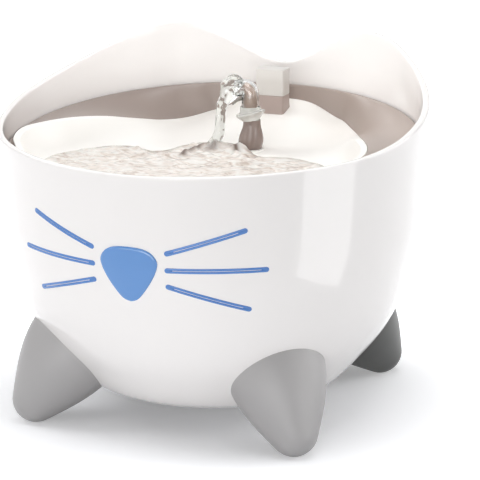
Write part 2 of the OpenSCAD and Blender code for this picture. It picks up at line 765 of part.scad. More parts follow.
plug_w = 7;
plug_low = tower_seam - 14;
plug_h = 12;
notch_x = cup_x + lead_dx + lead_d / 2 + 1;
pump_lead_path = path_through([
  [pump_lead_x, pump_lead_y, pump_low + pump_h - 5], [pump_lead_x, pump_lead_y, pump_low + pump_h - 1],
  [pump_lead_x, pump_lead_y, pump_low + pump_h + 2], [notch_x, cup_y + cup_r - 8, cup_top - 4], [notch_x, cup_y + cup_r + 1, cup_top - 1],
  [spout_x + 2, cup_y + cup_r + 13, cup_top + 16], [8, tower_y - 12, plug_low - 42], [3, tower_y - 1, plug_low - 26],
  [3, tower_y, plug_low - 12], [3, tower_y, plug_low - seat]
], 3);
module pump_lead() {
  color([0.15, 0.15, 0.16]) swept_tube(pump_lead_path, lead_d);
}
junction_in = bowl_r(grommet_z) - bowl_wall;
junction_d = 9;
supply_lead_path = path_through([
  [2, junction_in - junction_d - seat, grommet_z], [2, junction_in - junction_d - 2, grommet_z],
  [2, junction_in - junction_d - 4, grommet_z + 0.4],
  [-1, tower_y + 2, grommet_z + 5], [-3, tower_y, grommet_z + 14], [-3, tower_y, plug_low - seat]
], 3);
module supply_lead() {
  color([0.15, 0.15, 0.16]) swept_tube(supply_lead_path, lead_d);
}
// The nose light's lead runs up the front wall and level round the bowl to the junction
nose_lead_d = 3;
nose_lead_r = bowl_r(grommet_z) - bowl_wall - nose_lead_d / 2 - 0.4;
nose_lead_path = concat(
  [[0, lead_out_y, nose_z + pod_r - 2.5], [0, lead_out_y, nose_z + pod_r + 3]],
  path_through([[-1.5, lead_out_y - 3, grommet_z - 4.5], [-8, -nose_lead_r + 1.6, grommet_z]], 2),
  [for (a = [10:10:170]) [-nose_lead_r * sin(a), -nose_lead_r * cos(a), grommet_z]],
  [[-13, junction_in - junction_d / 2 - 2, grommet_z], [-5 - seat, junction_in - junction_d / 2 - 2.2, grommet_z]]
);
module nose_lead() {
  color([0.15, 0.15, 0.16]) swept_tube(nose_lead_path, nose_lead_d);
}
module lead_plug() {
  color([0.12, 0.12, 0.13]) translate([-plug_w / 2 - 1.5, tower_y - plug_w / 2, plug_low])
    cube([plug_w + 3, plug_w, plug_h / 2]);
}
module lead_socket() {
  color([0.2, 0.2, 0.21]) translate([0, tower_y, 0]) {
    translate([-plug_w / 2 - 1.5, -plug_w / 2, plug_low + plug_h / 2 + seat])
      cube([plug_w + 3, plug_w, plug_h / 2]);
    translate([-bore_w / 2 + snug, -2, plug_low + plug_h / 2 + seat + 2]) cube([bore_w - 2 * snug, 4, 3]);
  }
}
module lead_junction() {
  color([0.18, 0.18, 0.2]) difference() {
    intersection() {
      translate([-5, junction_in - junction_d, grommet_z - 6]) cube([10, junction_d + 5, 12]);
      bowl_solid(-bowl_wall - snug);
    }
    along_y(0, junction_in - 3, grommet_z) cylinder(r = grommet_neck + 0.4, h = 20);
  }
}
grommet_neck = grommet_bore + 1.6;
module cable_grommet() {
  color([0.13, 0.13, 0.14]) difference() {
    union() {
      along_y(0, junction_in - 3, grommet_z) cylinder(r = grommet_neck - snug, h = bowl_wall + 4.4);
      along_y(0, bowl_r(grommet_z) + 0.3, grommet_z) cylinder(r1 = grommet_neck + 2, r2 = grommet_neck + 1.2, h = 1.2);
    }
    along_y(0, junction_in - 6, grommet_z) cylinder(r = grommet_bore, h = 40);
  }
}
clip_angles = [30, 60, 90, 120, 150];
module lead_clips() {
  color([0.85, 0.86, 0.88]) for (a = clip_angles)
    intersection() {
      rotate([0, 0, -a]) translate([0, -nose_lead_r, grommet_z]) difference() {
        translate([-2.5, -8, -3]) cube([5, 10.5, 6]);
        rotate([0, 90, 0]) cylinder(d = nose_lead_d + 2 * slip, h = 20, center = true);
      }
      bowl_solid(-bowl_wall - snug);
    }
}

// ---- deck and tray, both built as rings of cross-sections round the bowl

// All rows round the bowl: the left half mirrors the right one
ring_rows = [
  for (i = [0:35])
    let (k = i <= 18 ? i : 36 - i, s = i <= 18 ? 1 : -1, q = tray_rows[k]) [q[0], q[1], s * q[2], q[3]]
];
sections = 72;
// Row at section j, on a smooth curve through the rows
function row_at(j) =
  let (
    i = floor(j / 2), t = (j % 2) / 2, a = ring_rows[(i + 35) % 36], b = ring_rows[i],
    c = ring_rows[(i + 1) % 36], d = ring_rows[(i + 2) % 36]
  )
  0.5 * (2 * b + (c - a) * t + (2 * a - 5 * b + 4 * c - d) * t ^ 2 + (3 * b - a - 3 * c + d) * t ^ 3);
function heading(j) = let (a = 360 * j / sections) [sin(a), cos(a)];
function raised(q, z) = [q[0], q[1], z];
// Joins rings of n points, ring after ring, into a closed skin; the last ring meets the first
function loop_faces(rings, n) = [
  for (r = [0:rings - 1], i = [0:n - 1])
    let (a = r * n + i, b = r * n + (i + 1) % n, c = (r + 1) % rings * n + i, d = (r + 1) % rings * n + (i + 1) % n)
    each [[a, b, c], [b, d, c]]
];
// Joins rings of n points into a closed skin, with one point in the middle of each end
function cap_faces(rings, n) = concat(
  [for (i = [0:n - 1]) [rings * n, (i + 1) % n, i]],
  [for (r = [0:rings - 2], i = [0:n - 1])
    let (a = r * n + i, b = r * n + (i + 1) % n, c = (r + 1) * n + i, d = (r + 1) * n + (i + 1) % n)
    each [[a, b, c], [b, d, c]]],
  [for (i = [0:n - 1]) [rings * n + 1, (rings - 1) * n + i, (rings - 1) * n + (i + 1) % n]]
);

step_gap = slip;
step_t = 3;
skirt_r = deck_r - 2.2;
// A deck section, from the outer edge over the top to the step and back along the underside
function deck_section(j) =
  let (
    row = row_at(j), w = heading(j), rb = min(row[0], tray_reach), zb = row[1],
    te = deck_top(deck_r * w[1]), ts = deck_top(skirt_r * w[1]),
    narrow = max(0, min(1, 1 - (skirt_r - rb - 2.3) / 12)),
    fall = max(0, ts - zb), rise = max(0, zb - ts), c = rb + step_gap, d = rb - lip_w,
    zc = zb - lip_t - step_gap, zd = zb - lip_drop - tray_wall - step_gap
  )
  [
    raised(deck_r * w, te), raised(skirt_r * w, ts), raised(c * w, zb), raised(c * w, zc),
    raised(d * w, zd), raised(d * w, zd - step_t),
    raised(c * w, zc - step_t - narrow * rise / 2), raised(skirt_r * w, ts - deck_t - narrow * fall),
    raised(skirt_r * w, ts - deck_t), raised(deck_r * w, te - deck_t)
  ];
module deck_shell() {
  rows = [for (j = [0:sections - 1]) deck_section(j)];
  rings = len(rows[0]);
  polyhedron(
    points = [for (r = [0:rings - 1], j = [0:sections - 1]) rows[j][r]],
    faces = loop_faces(rings, sections)
  );
}
plate_w = 22;
module deck() {
  color([0.66, 0.61, 0.58]) difference() {
    union() {
      deck_shell();
      translate([-plate_w / 2, tower_y - 9, plate_z - plate_t]) cube([plate_w, tray_reach - tower_y + 9, plate_t]);
      translate([-plate_w / 2, tray_reach - lip_w - 3, plate_z - plate_t]) cube([plate_w, lip_w + 3, plate_t + 4.2]);
    }
    translate([0, tower_y, 100]) square_block(bore_w, tower_edge - tower_wall, 100);
    intersection() {
      difference() {
        cylinder(r = deck_r + 5, h = bowl_top);
        translate([0, 0, -1]) cylinder(r = deck_r - 1, h = bowl_top + 2);
      }
      deck_slab(-deck_t - 5, -deck_t + 2.4);
    }
  }
}
module deck_ring() {
  color([0.25, 0.23, 0.22]) intersection() {
    difference() {
      cylinder(r = deck_r + ring_t - 0.1, h = bowl_top);
      translate([0, 0, -1]) cylinder(r = deck_r - 1 + snug, h = bowl_top + 2);
    }
    deck_slab(-deck_t, -deck_t + 2.4 - snug);
  }
}

// Upper surface of the tray along a section, from the basin's middle outwards
basin_mid = [0, -basin_y * wide];
function tray_section(j) =
  let (
    row = row_at(j), w = heading(j), rb = min(row[0], tray_reach), zb = row[1],
    shore = [row[2], row[3]], lip = (rb - lip_w) * w, zl = zb - lip_drop
  )
  concat(
    [for (u = [0.4, 0.75, 1]) raised(basin_mid + u * (shore - basin_mid), basin_z + (pool_z - basin_z) * u ^ 2)],
    [for (s = [0.36, 0.7]) raised(shore + s * (lip - shore), pool_z + (zl - pool_z) * s ^ 2)],
    [raised(lip, zl), raised(rb * w, zb)]
  );
module tray_shell() {
  top = [for (j = [0:sections - 1]) tray_section(j)];
  m = len(top[0]);
  points = concat(
    [for (r = [0:m - 1], j = [0:sections - 1]) top[j][r]],
    [for (r = [m - 1:-1:0], j = [0:sections - 1]) top[j][r] - [0, 0, r == m - 1 ? lip_t : tray_wall]],
    [raised(basin_mid, basin_z), raised(basin_mid, basin_z - tray_wall)]
  );
  polyhedron(points = points, faces = cap_faces(2 * m, sections));
}
module square_block(w, edge, h) {
  half = w / 2 - edge;
  linear_extrude(h) union() {
    square([w, w - 2 * edge], center = true);
    square([w - 2 * edge, w], center = true);
    for (sx = [-1, 1], sy = [-1, 1]) translate([sx * half, sy * half]) circle(edge, $fn = 32);
  }
}
hole_w = tower_w + 2.8;
bore_w = tower_w - 2 * tower_wall;
module drinking_tray() {
  color([0.97, 0.96, 0.94]) difference() {
    union() {
      tray_shell();
      translate([spout_x, spout_y, pool_z - 1]) cylinder(r = pad_r, h = pad_z - pool_z + 1);
    }
    translate([spout_x, spout_y, 100]) cylinder(r = stem_neck + run, h = 100);
    translate([0, tower_y, 100]) square_block(hole_w, tower_edge + 0.8, 100);
  }
}
stem_neck = 5.6;
module tray_gasket() {
  color([0.9, 0.9, 0.88, 0.6]) translate([spout_x, spout_y, gasket_low]) difference() {
    cylinder(r = stem_neck + 2, h = gasket_t2);
    translate([0, 0, -1]) cylinder(r = stem_neck + run, h = 4);
  }
}

// ---- spout

spigot_r = 5;
spigot_h = 5;
module spout_stem() {
  color([0.85, 0.9, 0.93, 0.4]) translate([spout_x, spout_y, 0]) difference() {
    union() {
      rotate_extrude() polygon([
        [0, pad_z + seat], [stem_r - 0.7, pad_z + seat], [stem_r - 0.1, pad_z + 3.5],
        [stem_r, pad_z + 6], [stem_r - 0.4, pad_z + 9], [stem_r - 1.2, pad_z + 11.5],
        [stem_r - 1.9, stem_top], [0, stem_top]
      ]);
      translate([0, 0, gasket_low - 1]) cylinder(r = stem_neck, h = stem_top - gasket_low);
      translate([0, 0, stem_top - 1]) cylinder(r = spigot_r, h = spigot_h + 1);
    }
    translate([0, 0, 130]) cylinder(r = riser_bore, h = 60);
  }
}

nozzle_az = 184;
elbow_h = nozzle_h - 5.5;
nozzle_droop = 98;
module spout_nozzle() {
  color([0.85, 0.9, 0.93, 0.4]) translate([spout_x, spout_y, stem_top]) rotate([0, 0, nozzle_az]) difference() {
    union() {
      rotate_extrude() polygon([
        [0, seat], [stem_r - 1.9, seat], [collar_r - 0.8, 4.6], [collar_r, 5.6], [collar_r, 7],
        [collar_r - 1.2, 7.4], [collar_r - 1.7, 8.6], [6.3, 9.2], [6, 14], [5.5, elbow_h], [0, elbow_h]
      ]);
      translate([0, 0, elbow_h]) sphere(5.52);
      translate([0, 0, elbow_h]) rotate([0, nozzle_droop, 0]) cylinder(r1 = 5.4, r2 = 5, h = nozzle_reach);
    }
    translate([0, 0, -1]) cylinder(r = spigot_r + run, h = spigot_h + 1.4);
    cylinder(r = riser_bore, h = elbow_h + 1);
    translate([0, 0, elbow_h]) sphere(riser_bore);
    translate([0, 0, elbow_h]) rotate([0, nozzle_droop, 0]) cylinder(r = riser_bore, h = 20);
  }
}
module riser_seal() {
  color([0.2, 0.2, 0.2]) translate([spout_x, spout_y, gasket_low - 1 - seal_t]) difference() {
    cylinder(r = stem_neck + 1.4, h = seal_t);
    translate([0, 0, -1]) cylinder(r = riser_bore, h = 4);
  }
}

// ---- tower

module connector_tower() {
  color([0.62, 0.56, 0.53]) difference() {
    translate([0, tower_y, 0]) union() {
      translate([0, 0, plate_z + 0.05]) square_block(tower_w + 0.2, tower_edge, tower_seam - plate_z - 0.05);
      translate([0, 0, plate_z + 0.05]) square_block(tower_w + 2.2, tower_edge + 0.8, 5.5);
      translate([0, 0, plate_z + 0.05]) square_block(tower_w + 1.2, tower_edge + 0.5, 8);
      translate([0, 0, tower_seam - 1]) square_block(tower_w - 2 * tower_wall - 2 * slip, tower_edge - tower_wall, 4);
    }
    translate([0, tower_y, 100]) square_block(bore_w - 2 * slip - 2 * 1.2, tower_edge - tower_wall - 0.6, 100);
    translate([0, tower_y, 100]) square_block(bore_w, tower_edge - tower_wall, tower_seam - 101.5);
  }
}
module tower_cap() {
  color([0.93, 0.93, 0.92]) translate([0, tower_y, tower_seam + seat]) difference() {
    square_block(tower_w + 0.2, tower_edge, cap_h);
    translate([0, 0, -1]) square_block(tower_w + 0.2 - 2 * tower_wall, tower_edge - tower_wall, cap_h + 1 - tower_wall);
  }
}

bowl();
nose_lens();
nose_gasket();
light_pod();
light_board();
nose_leds();
whisker(0, -1);  // whisker_left_upper
whisker(1, -1);  // whisker_left_middle
whisker(2, -1);  // whisker_left_lower
whisker(0, 1);  // whisker_right_upper
whisker(1, 1);  // whisker_right_middle
whisker(2, 1);  // whisker_right_lower
foot(feet[0]);  // foot_front_left
foot(feet[1]);  // foot_front_right
foot(feet[2]);  // foot_back_left
foot(feet[3]);  // foot_back_right
foot_screws();
foot_washers();
filter_cup();
filter_lid();
filter_foam();
carbon_frame();
carbon_pad();
pump_casing();
pump_back_cover();
pump_volute_cover();
flow_dial();
suction_cups();
impeller();
rotor_magnet();
rotor_shaft();
shaft_bushes();
stator_core();
stator_coil();
riser_pipe();
pump_lead();
lead_plug();
lead_socket();
supply_lead();
nose_lead();
lead_junction();
cable_grommet();
lead_clips();
deck();
deck_ring();
drinking_tray();
tray_gasket();
spout_stem();
spout_nozzle();
riser_seal();
connector_tower();
tower_cap();
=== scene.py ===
"""Pet water fountain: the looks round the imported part.

Sizes are in millimetres in the functions and become metres when a mesh is made.
The nose looks along -Y, +X is to the right seen from the front, +Z is up.
"""
import json
import math

import bmesh
import bpy
import numpy as np
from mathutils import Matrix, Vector
from mathutils.bvhtree import BVHTree


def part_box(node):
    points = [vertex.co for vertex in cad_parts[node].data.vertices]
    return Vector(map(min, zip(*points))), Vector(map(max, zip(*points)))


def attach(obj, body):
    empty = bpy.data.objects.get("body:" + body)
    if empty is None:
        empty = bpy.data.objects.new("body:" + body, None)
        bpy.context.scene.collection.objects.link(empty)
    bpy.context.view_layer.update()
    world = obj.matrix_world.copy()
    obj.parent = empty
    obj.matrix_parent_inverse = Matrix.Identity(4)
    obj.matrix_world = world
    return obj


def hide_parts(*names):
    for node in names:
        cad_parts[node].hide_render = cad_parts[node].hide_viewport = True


MM = 0.001
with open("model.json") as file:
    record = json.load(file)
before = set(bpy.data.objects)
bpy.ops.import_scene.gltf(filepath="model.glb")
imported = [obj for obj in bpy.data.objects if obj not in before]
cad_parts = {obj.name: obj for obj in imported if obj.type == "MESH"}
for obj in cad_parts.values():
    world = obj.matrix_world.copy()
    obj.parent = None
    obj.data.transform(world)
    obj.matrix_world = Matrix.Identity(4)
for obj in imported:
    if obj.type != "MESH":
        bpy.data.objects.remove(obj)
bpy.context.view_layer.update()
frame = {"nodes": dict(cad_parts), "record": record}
slot_of = {s["node"]: s["material_slot"] for s in frame["record"]["subparts"]}
body_of = {n: b for b, ns in frame["record"]["behaviour"]["bodies"].items() for n in ns}

# ---- sizes

BOWL_LIFT = 14.2
BOWL_WALL = 2.8
THROAT_R = 122.2
BOWL_CURVE = [
    (0, 0), (36, 0), (50, 0), (60, 0.3), (70, 2.4), (79.3, 8), (92, 21.8), (104, 37.3),
    (113, 55.8), (118.6, 75.8), (122.3, 95.8), (123.9, 115.8), (125, 135.8), (126, 155.8),
    (126.1, 173.8), (124.6, 197.8),
]
RIM_CURVE = [
    (-20, 164.2), (0, 163.4), (20, 164.2), (40, 165.5), (60, 167.5), (75, 170.8),
    (90, 176.5), (100, 180.7), (110, 186.3), (120, 192.6), (130, 200), (140, 207.4),
    (149, 210), (155, 208.3), (162, 202.6), (170, 193.3), (176, 186.8), (180, 185),
    (184, 186.8),
]
DECK_R = 121.4
DECK_T = 5.0
DECK_Z = 158.4
DECK_TILT = math.radians(6.1)
TRAY_REACH = 116.6
POOL_Z = 148.0
BASIN_Z = 137.0
BASIN_Y = 42.0
TRAY_ROWS = [
    (118.3, 163, 0, 15), (118.3, 161.7, 9, 15), (118, 154.4, 19, 14.5),
    (109.8, 150.6, 28, 14), (100.2, 151.6, 37, 13.5), (92.2, 155, 45, 13),
    (87.3, 158.3, 53, 11), (85.6, 161.4, 61, 7.5), (87.4, 163.6, 69, 2.5),
    (93.2, 165, 77, -4), (102.5, 165.3, 84, -15), (112, 165.2, 88, -30),
    (116.5, 163, 88, -46), (118, 160, 83, -62), (118, 157, 72, -77), (118, 155, 56, -89),
    (118, 153.8, 38, -98), (118, 153.2, 19, -103), (118, 153, 0, -104),
]
SPOUT = (13.0, 28.0)
STEM_TOP = 163.0
PAD_R = 8.4
PAD_Z = POOL_Z + 0.9
TOWER_Y = 100.0
TOWER_W = 18.0
TOWER_SLIM = 5.0
TOWER_EDGE = 1.6
TOWER_MID = (0.3, 100.0)
TOWER_SEAM = 168.2
CAP_H = 16.3
PLATE_Z = 152.6
NOSE_Z = 108.3
NOSE_PROUD = 1.2
NOSE_HALF = [
    (0, 15.2), (8, 14.6), (13.5, 12.2), (16.7, 7.6), (16, 2.5), (12.8, -4), (8, -11), (4, -15.3),
    (0, -16.7),
]
WHISKER_W = 3.0
WHISKER_PROUD = 0.4
WHISKER_ENDS = {
    "upper": ((30, 134.4), (10.4, 121.1)),
    "middle": ((35.7, 111.9), (10.4, 111.4)),
    "lower": ((31.6, 88.9), (10.5, 101.9)),
}
GROMMET_Z = 132.0
GROMMET_NECK = 3.8
FOOT_TIP = 13.8
FOOT_FLAT = 0.8
FOOT_SLOPE = math.radians(50.8)
FOOT_CURVE = [(18.2, 5), (22.8, 15), (26.6, 26), (28.6, 38), (28.9, 54), (26.5, 76)]
# azimuth from the nose and distance from the middle of each foot
FEET = {
    "foot_front_left": (-46, 111.2), "foot_front_right": (46, 111.2),
    "foot_back_left": (-138.6, 116.8), "foot_back_right": (138.6, 116.8),
}

# ---- curves


def smooth(a, b, c, d, t):
    """Point at a share t of the stretch from b to c, on a smooth curve from a to d."""
    return 0.5 * (2 * b + (c - a) * t + (2 * a - 5 * b + 4 * c - d) * t**2
                  + (3 * b - a - 3 * c + d) * t**3)


def spline(points, per):
    """A smooth open curve through points, with per steps to each stretch."""
    p = np.asarray(points, float)
    p = np.vstack([p[:1], p, p[-1:]])
    out = []
    for i in range(1, len(p) - 2):
        out += [smooth(*p[i - 1:i + 3], k / per) for k in range(per)]
    out.append(p[-2])
    return np.array(out)


def table_at(table, x):
    """Smooth value of a table of (x, y) points at x."""
    p = np.asarray(table, float)
    i = int(np.clip(np.searchsorted(p[:, 0], x, "right") - 1, 0, len(p) - 2))

    def slope(k):
        a, b = max(0, k - 1), min(len(p) - 1, k + 1)
        return (p[b, 1] - p[a, 1]) / (p[b, 0] - p[a, 0])

    h = p[i + 1, 0] - p[i, 0]
    t = (x - p[i, 0]) / h
    return ((2 * t**3 - 3 * t**2 + 1) * p[i, 1] + (t**3 - 2 * t**2 + t) * slope(i) * h
            + (3 * t**2 - 2 * t**3) * p[i + 1, 1] + (t**3 - t**2) * slope(i + 1) * h)


def corner(before, at, after, size):
    """Points that round the corner at `at`, starting and ending `size` away from it."""
    before, at, after = (np.asarray(q, float) for q in (before, at, after))
    a = at + (before - at) * min(0.45, size / max(1e-6, np.linalg.norm(before - at)))
    b = at + (after - at) * min(0.45, size / max(1e-6, np.linalg.norm(after - at)))
    return [(1 - t)**2 * a + 2 * t * (1 - t) * at + t**2 * b for t in np.linspace(0, 1, 4)]


def circle(n):
    """Even angles once round."""
    return np.linspace(0, 2 * math.pi, n, endpoint=False)


# ---- meshes


def make(name, points, faces, sharp=38):
    """A smooth mesh object from points in millimetres, with outward faces."""
    mesh = bpy.data.meshes.new(name)
    mesh.from_pydata((np.asarray(points, float) * MM).tolist(), [], faces)
    mesh.validate()
    mesh.update()
    obj = bpy.data.objects.new(name, mesh)
    bpy.context.scene.collection.objects.link(obj)
    turn_outward(mesh)
    mesh.shade_smooth()
    if sharp:
        mesh.set_sharp_from_angle(angle=math.radians(sharp))
    return obj


def volume_of(mesh):
    """Enclosed volume, negative when the faces look inward."""
    mesh.calc_loop_triangles()
    co = np.empty(len(mesh.vertices) * 3)
    mesh.vertices.foreach_get("co", co)
    co = co.reshape(-1, 3)
    tri = np.empty(len(mesh.loop_triangles) * 3, int)
    mesh.loop_triangles.foreach_get("vertices", tri)
    a, b, c = co[tri.reshape(-1, 3)].transpose(1, 0, 2)
    return np.einsum("ij,ij->i", a, np.cross(b, c)).sum() / 6


def turn_outward(mesh):
    if volume_of(mesh) < 0:
        mesh.flip_normals()


def points_of(obj):
    return np.array([v.co for v in obj.data.vertices])


def set_points(obj, points):
    """Gives a piece new points, in metres, and faces that look outward."""
    obj.data.vertices.foreach_set("co", points.astype(np.float32).ravel())
    obj.data.update()
    turn_outward(obj.data)
    return obj


def loft(name, rings, start=None, end=None, closed=False, sharp=38):
    """A skin over rings of points; start and end are middle points that close its ends."""
    rings = np.asarray(rings, float)
    m, n = rings.shape[:2]
    points = [tuple(q) for ring in rings for q in ring]
    faces = []
    for r in range(m if closed else m - 1):
        s = (r + 1) % m
        for i in range(n):
            j = (i + 1) % n
            faces.append((r * n + i, r * n + j, s * n + j, s * n + i))
    if start is not None:
        points.append(tuple(start))
        k = len(points) - 1
        faces += [(k, (i + 1) % n, i) for i in range(n)]
    if end is not None:
        points.append(tuple(end))
        k = len(points) - 1
        base = (m - 1) * n
        faces += [(k, base + i, base + (i + 1) % n) for i in range(n)]
    return make(name, points, faces, sharp)


def turned(name, outline, middle=(0, 0), n=96, sharp=38):
    """A turned piece of (radius, height) points; a closed ring unless it meets the axis."""
    a = circle(n)
    rings, start, end = [], None, None
    for k, (r, z) in enumerate(outline):
        if r < 1e-6:
            if k == 0:
                start = (middle[0], middle[1], z)
            else:
                end = (middle[0], middle[1], z)
            continue
        rings.append(np.c_[middle[0] + r * np.cos(a), middle[1] + r * np.sin(a), np.full(n, z)])
    return loft(name, rings, start, end, closed=start is None and end is None, sharp=sharp)


def pin(r, low, high):
    """Outline of a plain pin, for holes and solid discs."""
    return [(0, low), (r, low), (r, high), (0, high)]


def square_ring(w, edge, z, middle, slim=0.0, per=8):
    """One ring of an upright post with rounded edges, slim millimetres less deep than wide."""
    half, deep, out = w / 2 - edge, (w - slim) / 2 - edge, []
    for k, (sx, sy) in enumerate(((1, 1), (-1, 1), (-1, -1), (1, -1))):
        for t in np.linspace(0, math.pi / 2, per):
            a = k * math.pi / 2 + t
            out.append((middle[0] + sx * half + edge * math.cos(a),
                        middle[1] + sy * deep + edge * math.sin(a), z))
    return np.array(out)


def post(name, levels, middle, edge, slim=0.0, sharp=30):
    """A closed shell from (width, height) levels, the first and last at its mouth."""
    rings = [square_ring(w, min(edge, (w - slim) / 2 - 0.3), z, middle, slim) for w, z in levels]
    return loft(name, rings, (middle[0], middle[1], levels[0][1]),
                (middle[0], middle[1], levels[-1][1]), sharp=sharp)


def copy_of(node):
    """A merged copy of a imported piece, with smooth faces."""
    mesh = frame["nodes"][node].data.copy()
    obj = bpy.data.objects.new(node + "_dressed", mesh)
    bpy.context.scene.collection.objects.link(obj)
    bm = bmesh.new()
    bm.from_mesh(mesh)
    bmesh.ops.remove_doubles(bm, verts=bm.verts, dist=1e-6)
    bmesh.ops.dissolve_limit(bm, angle_limit=math.radians(0.5), verts=bm.verts, edges=bm.edges)
    bm.to_mesh(mesh)
    bm.free()
    mesh.shade_smooth()
    mesh.set_sharp_from_angle(angle=math.radians(32))
    return obj


def drop(obj):
    """Removes a piece that was only a tool or a pattern."""
    mesh = obj.data
    bpy.data.objects.remove(obj)
    bpy.data.meshes.remove(mesh)


def place(obj, body, slot, material, *nodes):
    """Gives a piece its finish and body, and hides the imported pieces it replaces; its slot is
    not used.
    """
    obj.data.materials.clear()
    obj.data.materials.append(material)
    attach(obj, body)
    if nodes:
        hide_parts(*nodes)
    return obj


def stand_in(obj, material, node):
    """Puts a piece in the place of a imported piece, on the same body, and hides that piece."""
    return place(obj, body_of[node], slot_of[node], material, node)


# ---- materials


def srgb(*rgb):
    """Linear colour of an 0-255 colour as it is seen."""
    out = []
    for v in rgb:
        v = v / 255
        out.append(v / 12.92 if v <= 0.04045 else ((v + 0.055) / 1.055)**2.4)
    return (*out, 1.0)


def fill(tree, node, inputs):
    """Links sockets to a node's inputs, or sets the inputs to values."""
    for key, value in inputs.items():
        if isinstance(value, bpy.types.NodeSocket):
            tree.links.new(value, node.inputs[key])
        else:
            node.inputs[key].default_value = value


def step(tree, kind, inputs, gives=0, **settings):
    """One node of a tree with its inputs filled; returns its first or its named output."""
    node = tree.nodes.new(kind)
    for key, value in settings.items():
        setattr(node, key, value)
    fill(tree, node, inputs)
    return node.outputs[gives]


def blend(tree, a, b, factor):
    return step(tree, "ShaderNodeMix", {"A": a, "B": b, "Factor": factor}, "Result",
                data_type="RGBA")


def scaled(colour, by):
    return (*np.clip(np.array(colour[:3]) * by, 0, 1), 1)


GLOSS_SPREAD, MOTTLE_SCALE, GRAIN_DEPTH = 0.06, 14, 0.0002


def finish_of(name, colour, rough, *, mottle=0.02, grain=600, bump=0.05, coat=0.0,
              coat_rough=0.05, metallic=0.0, transmission=0.0, ior=1.46, alpha=1.0):
    """A plastic, metal or rubber: faint mottling of colour and gloss, and a fine moulded grain."""
    mat = bpy.data.materials.new(name)
    mat.use_nodes = True
    nt = mat.node_tree
    where = step(nt, "ShaderNodeTexCoord", {}, "Object")
    cloud = step(nt, "ShaderNodeTexNoise", {
        "Scale": MOTTLE_SCALE, "Detail": 4, "Vector": where})
    gloss = step(nt, "ShaderNodeMapRange", {
        "Value": cloud, "To Min": max(0.0, rough * (1 - GLOSS_SPREAD)),
        "To Max": min(1.0, rough * (1 + GLOSS_SPREAD))})
    colour = srgb(*colour)
    tint = blend(nt, scaled(colour, 1 - mottle), scaled(colour, 1 + mottle), cloud)
    shader = {"Base Color": tint, "Roughness": gloss, "Metallic": metallic, "IOR": ior,
              "Transmission Weight": transmission, "Alpha": alpha, "Coat Weight": coat,
              "Coat Roughness": coat_rough}
    if bump:
        fine = step(nt, "ShaderNodeTexNoise", {"Scale": grain, "Detail": 2, "Vector": where})
        shader["Normal"] = step(nt, "ShaderNodeBump", {
            "Strength": bump, "Distance": GRAIN_DEPTH, "Height": fine})
    fill(nt, nt.nodes["Principled BSDF"], shader)
    return mat


TAUPE_HALF = 0.09


def paint_side_shade(mat, left, right):
    """Paints light and shade into a finish: a darker colour at the part's left, where it lies in
    shade, and a lighter one at its right, where light falls.
    """
    nt = mat.node_tree
    x = step(nt, "ShaderNodeSeparateXYZ", {0: step(nt, "ShaderNodeTexCoord", {}, "Object")})
    across = step(nt, "ShaderNodeMapRange", {
        "From Min": -TAUPE_HALF, "From Max": TAUPE_HALF, "Value": x})
    tint = nt.nodes["Principled BSDF"].inputs["Base Color"].links[0].from_node
    for socket, shift in (("A", 0.98), ("B", 1.02)):
        ends = [scaled(srgb(*colour), shift) for colour in (left, right)]
        fill(nt, tint, {socket: blend(nt, *ends, across)})


GLOSS_WHITE = finish_of("gloss white plastic", (246, 243, 241), 0.13, mottle=0.008,
                        bump=0.015, coat=0.3)
TRAY_WHITE = finish_of("satin white plastic", (250, 248, 244), 0.3, mottle=0.01, bump=0.03)
TAUPE = finish_of("taupe plastic", (156, 140, 132), 0.36, mottle=0.02, bump=0.05, coat=0.15,
                  coat_rough=0.2)
# painted shade on the deck's left bank and painted light on its right bank
paint_side_shade(TAUPE, (148, 134, 127), (170, 156, 148))
TOWER_TAUPE = finish_of("tower taupe plastic", (178, 161, 154), 0.36, mottle=0.02, bump=0.05)
FOOT_GREY = finish_of("satin grey plastic", (170, 168, 168), 0.42, mottle=0.02,
                      bump=0.08, grain=900)
# the back feet take a darker grey: painted shade for the shadow they stand in under the bowl
FOOT_PAINTED_SHADE = finish_of("shaded grey plastic", (88, 89, 87), 0.42, mottle=0.02, bump=0.08, grain=900)
BLUE_LENS = finish_of("blue lens", (84, 141, 207), 0.12, mottle=0.03, bump=0.0, coat=0.5)
BLUE_INLAY = finish_of("blue inlay", (78, 130, 200), 0.22, mottle=0.03, bump=0.02, coat=0.2)
CLEAR = finish_of("clear plastic", (235, 236, 236), 0.06, mottle=0.0, bump=0.0,
                  transmission=1.0, ior=1.45)
STEM_SMOKE = finish_of("smoked stem plastic", (152, 134, 126), 0.12, mottle=0.03, bump=0.0,
                       transmission=0.2, coat=0.4)
STEM_CORE = finish_of("brown feed tube", (172, 148, 133), 0.3, mottle=0.06, bump=0.03, coat=0.3)
TONGUE = finish_of("smoked lip", (158, 152, 143), 0.15, mottle=0.05, bump=0.0, transmission=0.3)
FROSTED = finish_of("frosted clear plastic", (240, 240, 235), 0.14, mottle=0.02, bump=0.02,
                    transmission=0.6, coat=0.3)
WATER_CLEAR = finish_of("falling water", (236, 238, 236), 0.02, mottle=0.0, bump=0.0,
                        transmission=1.0, ior=1.33)


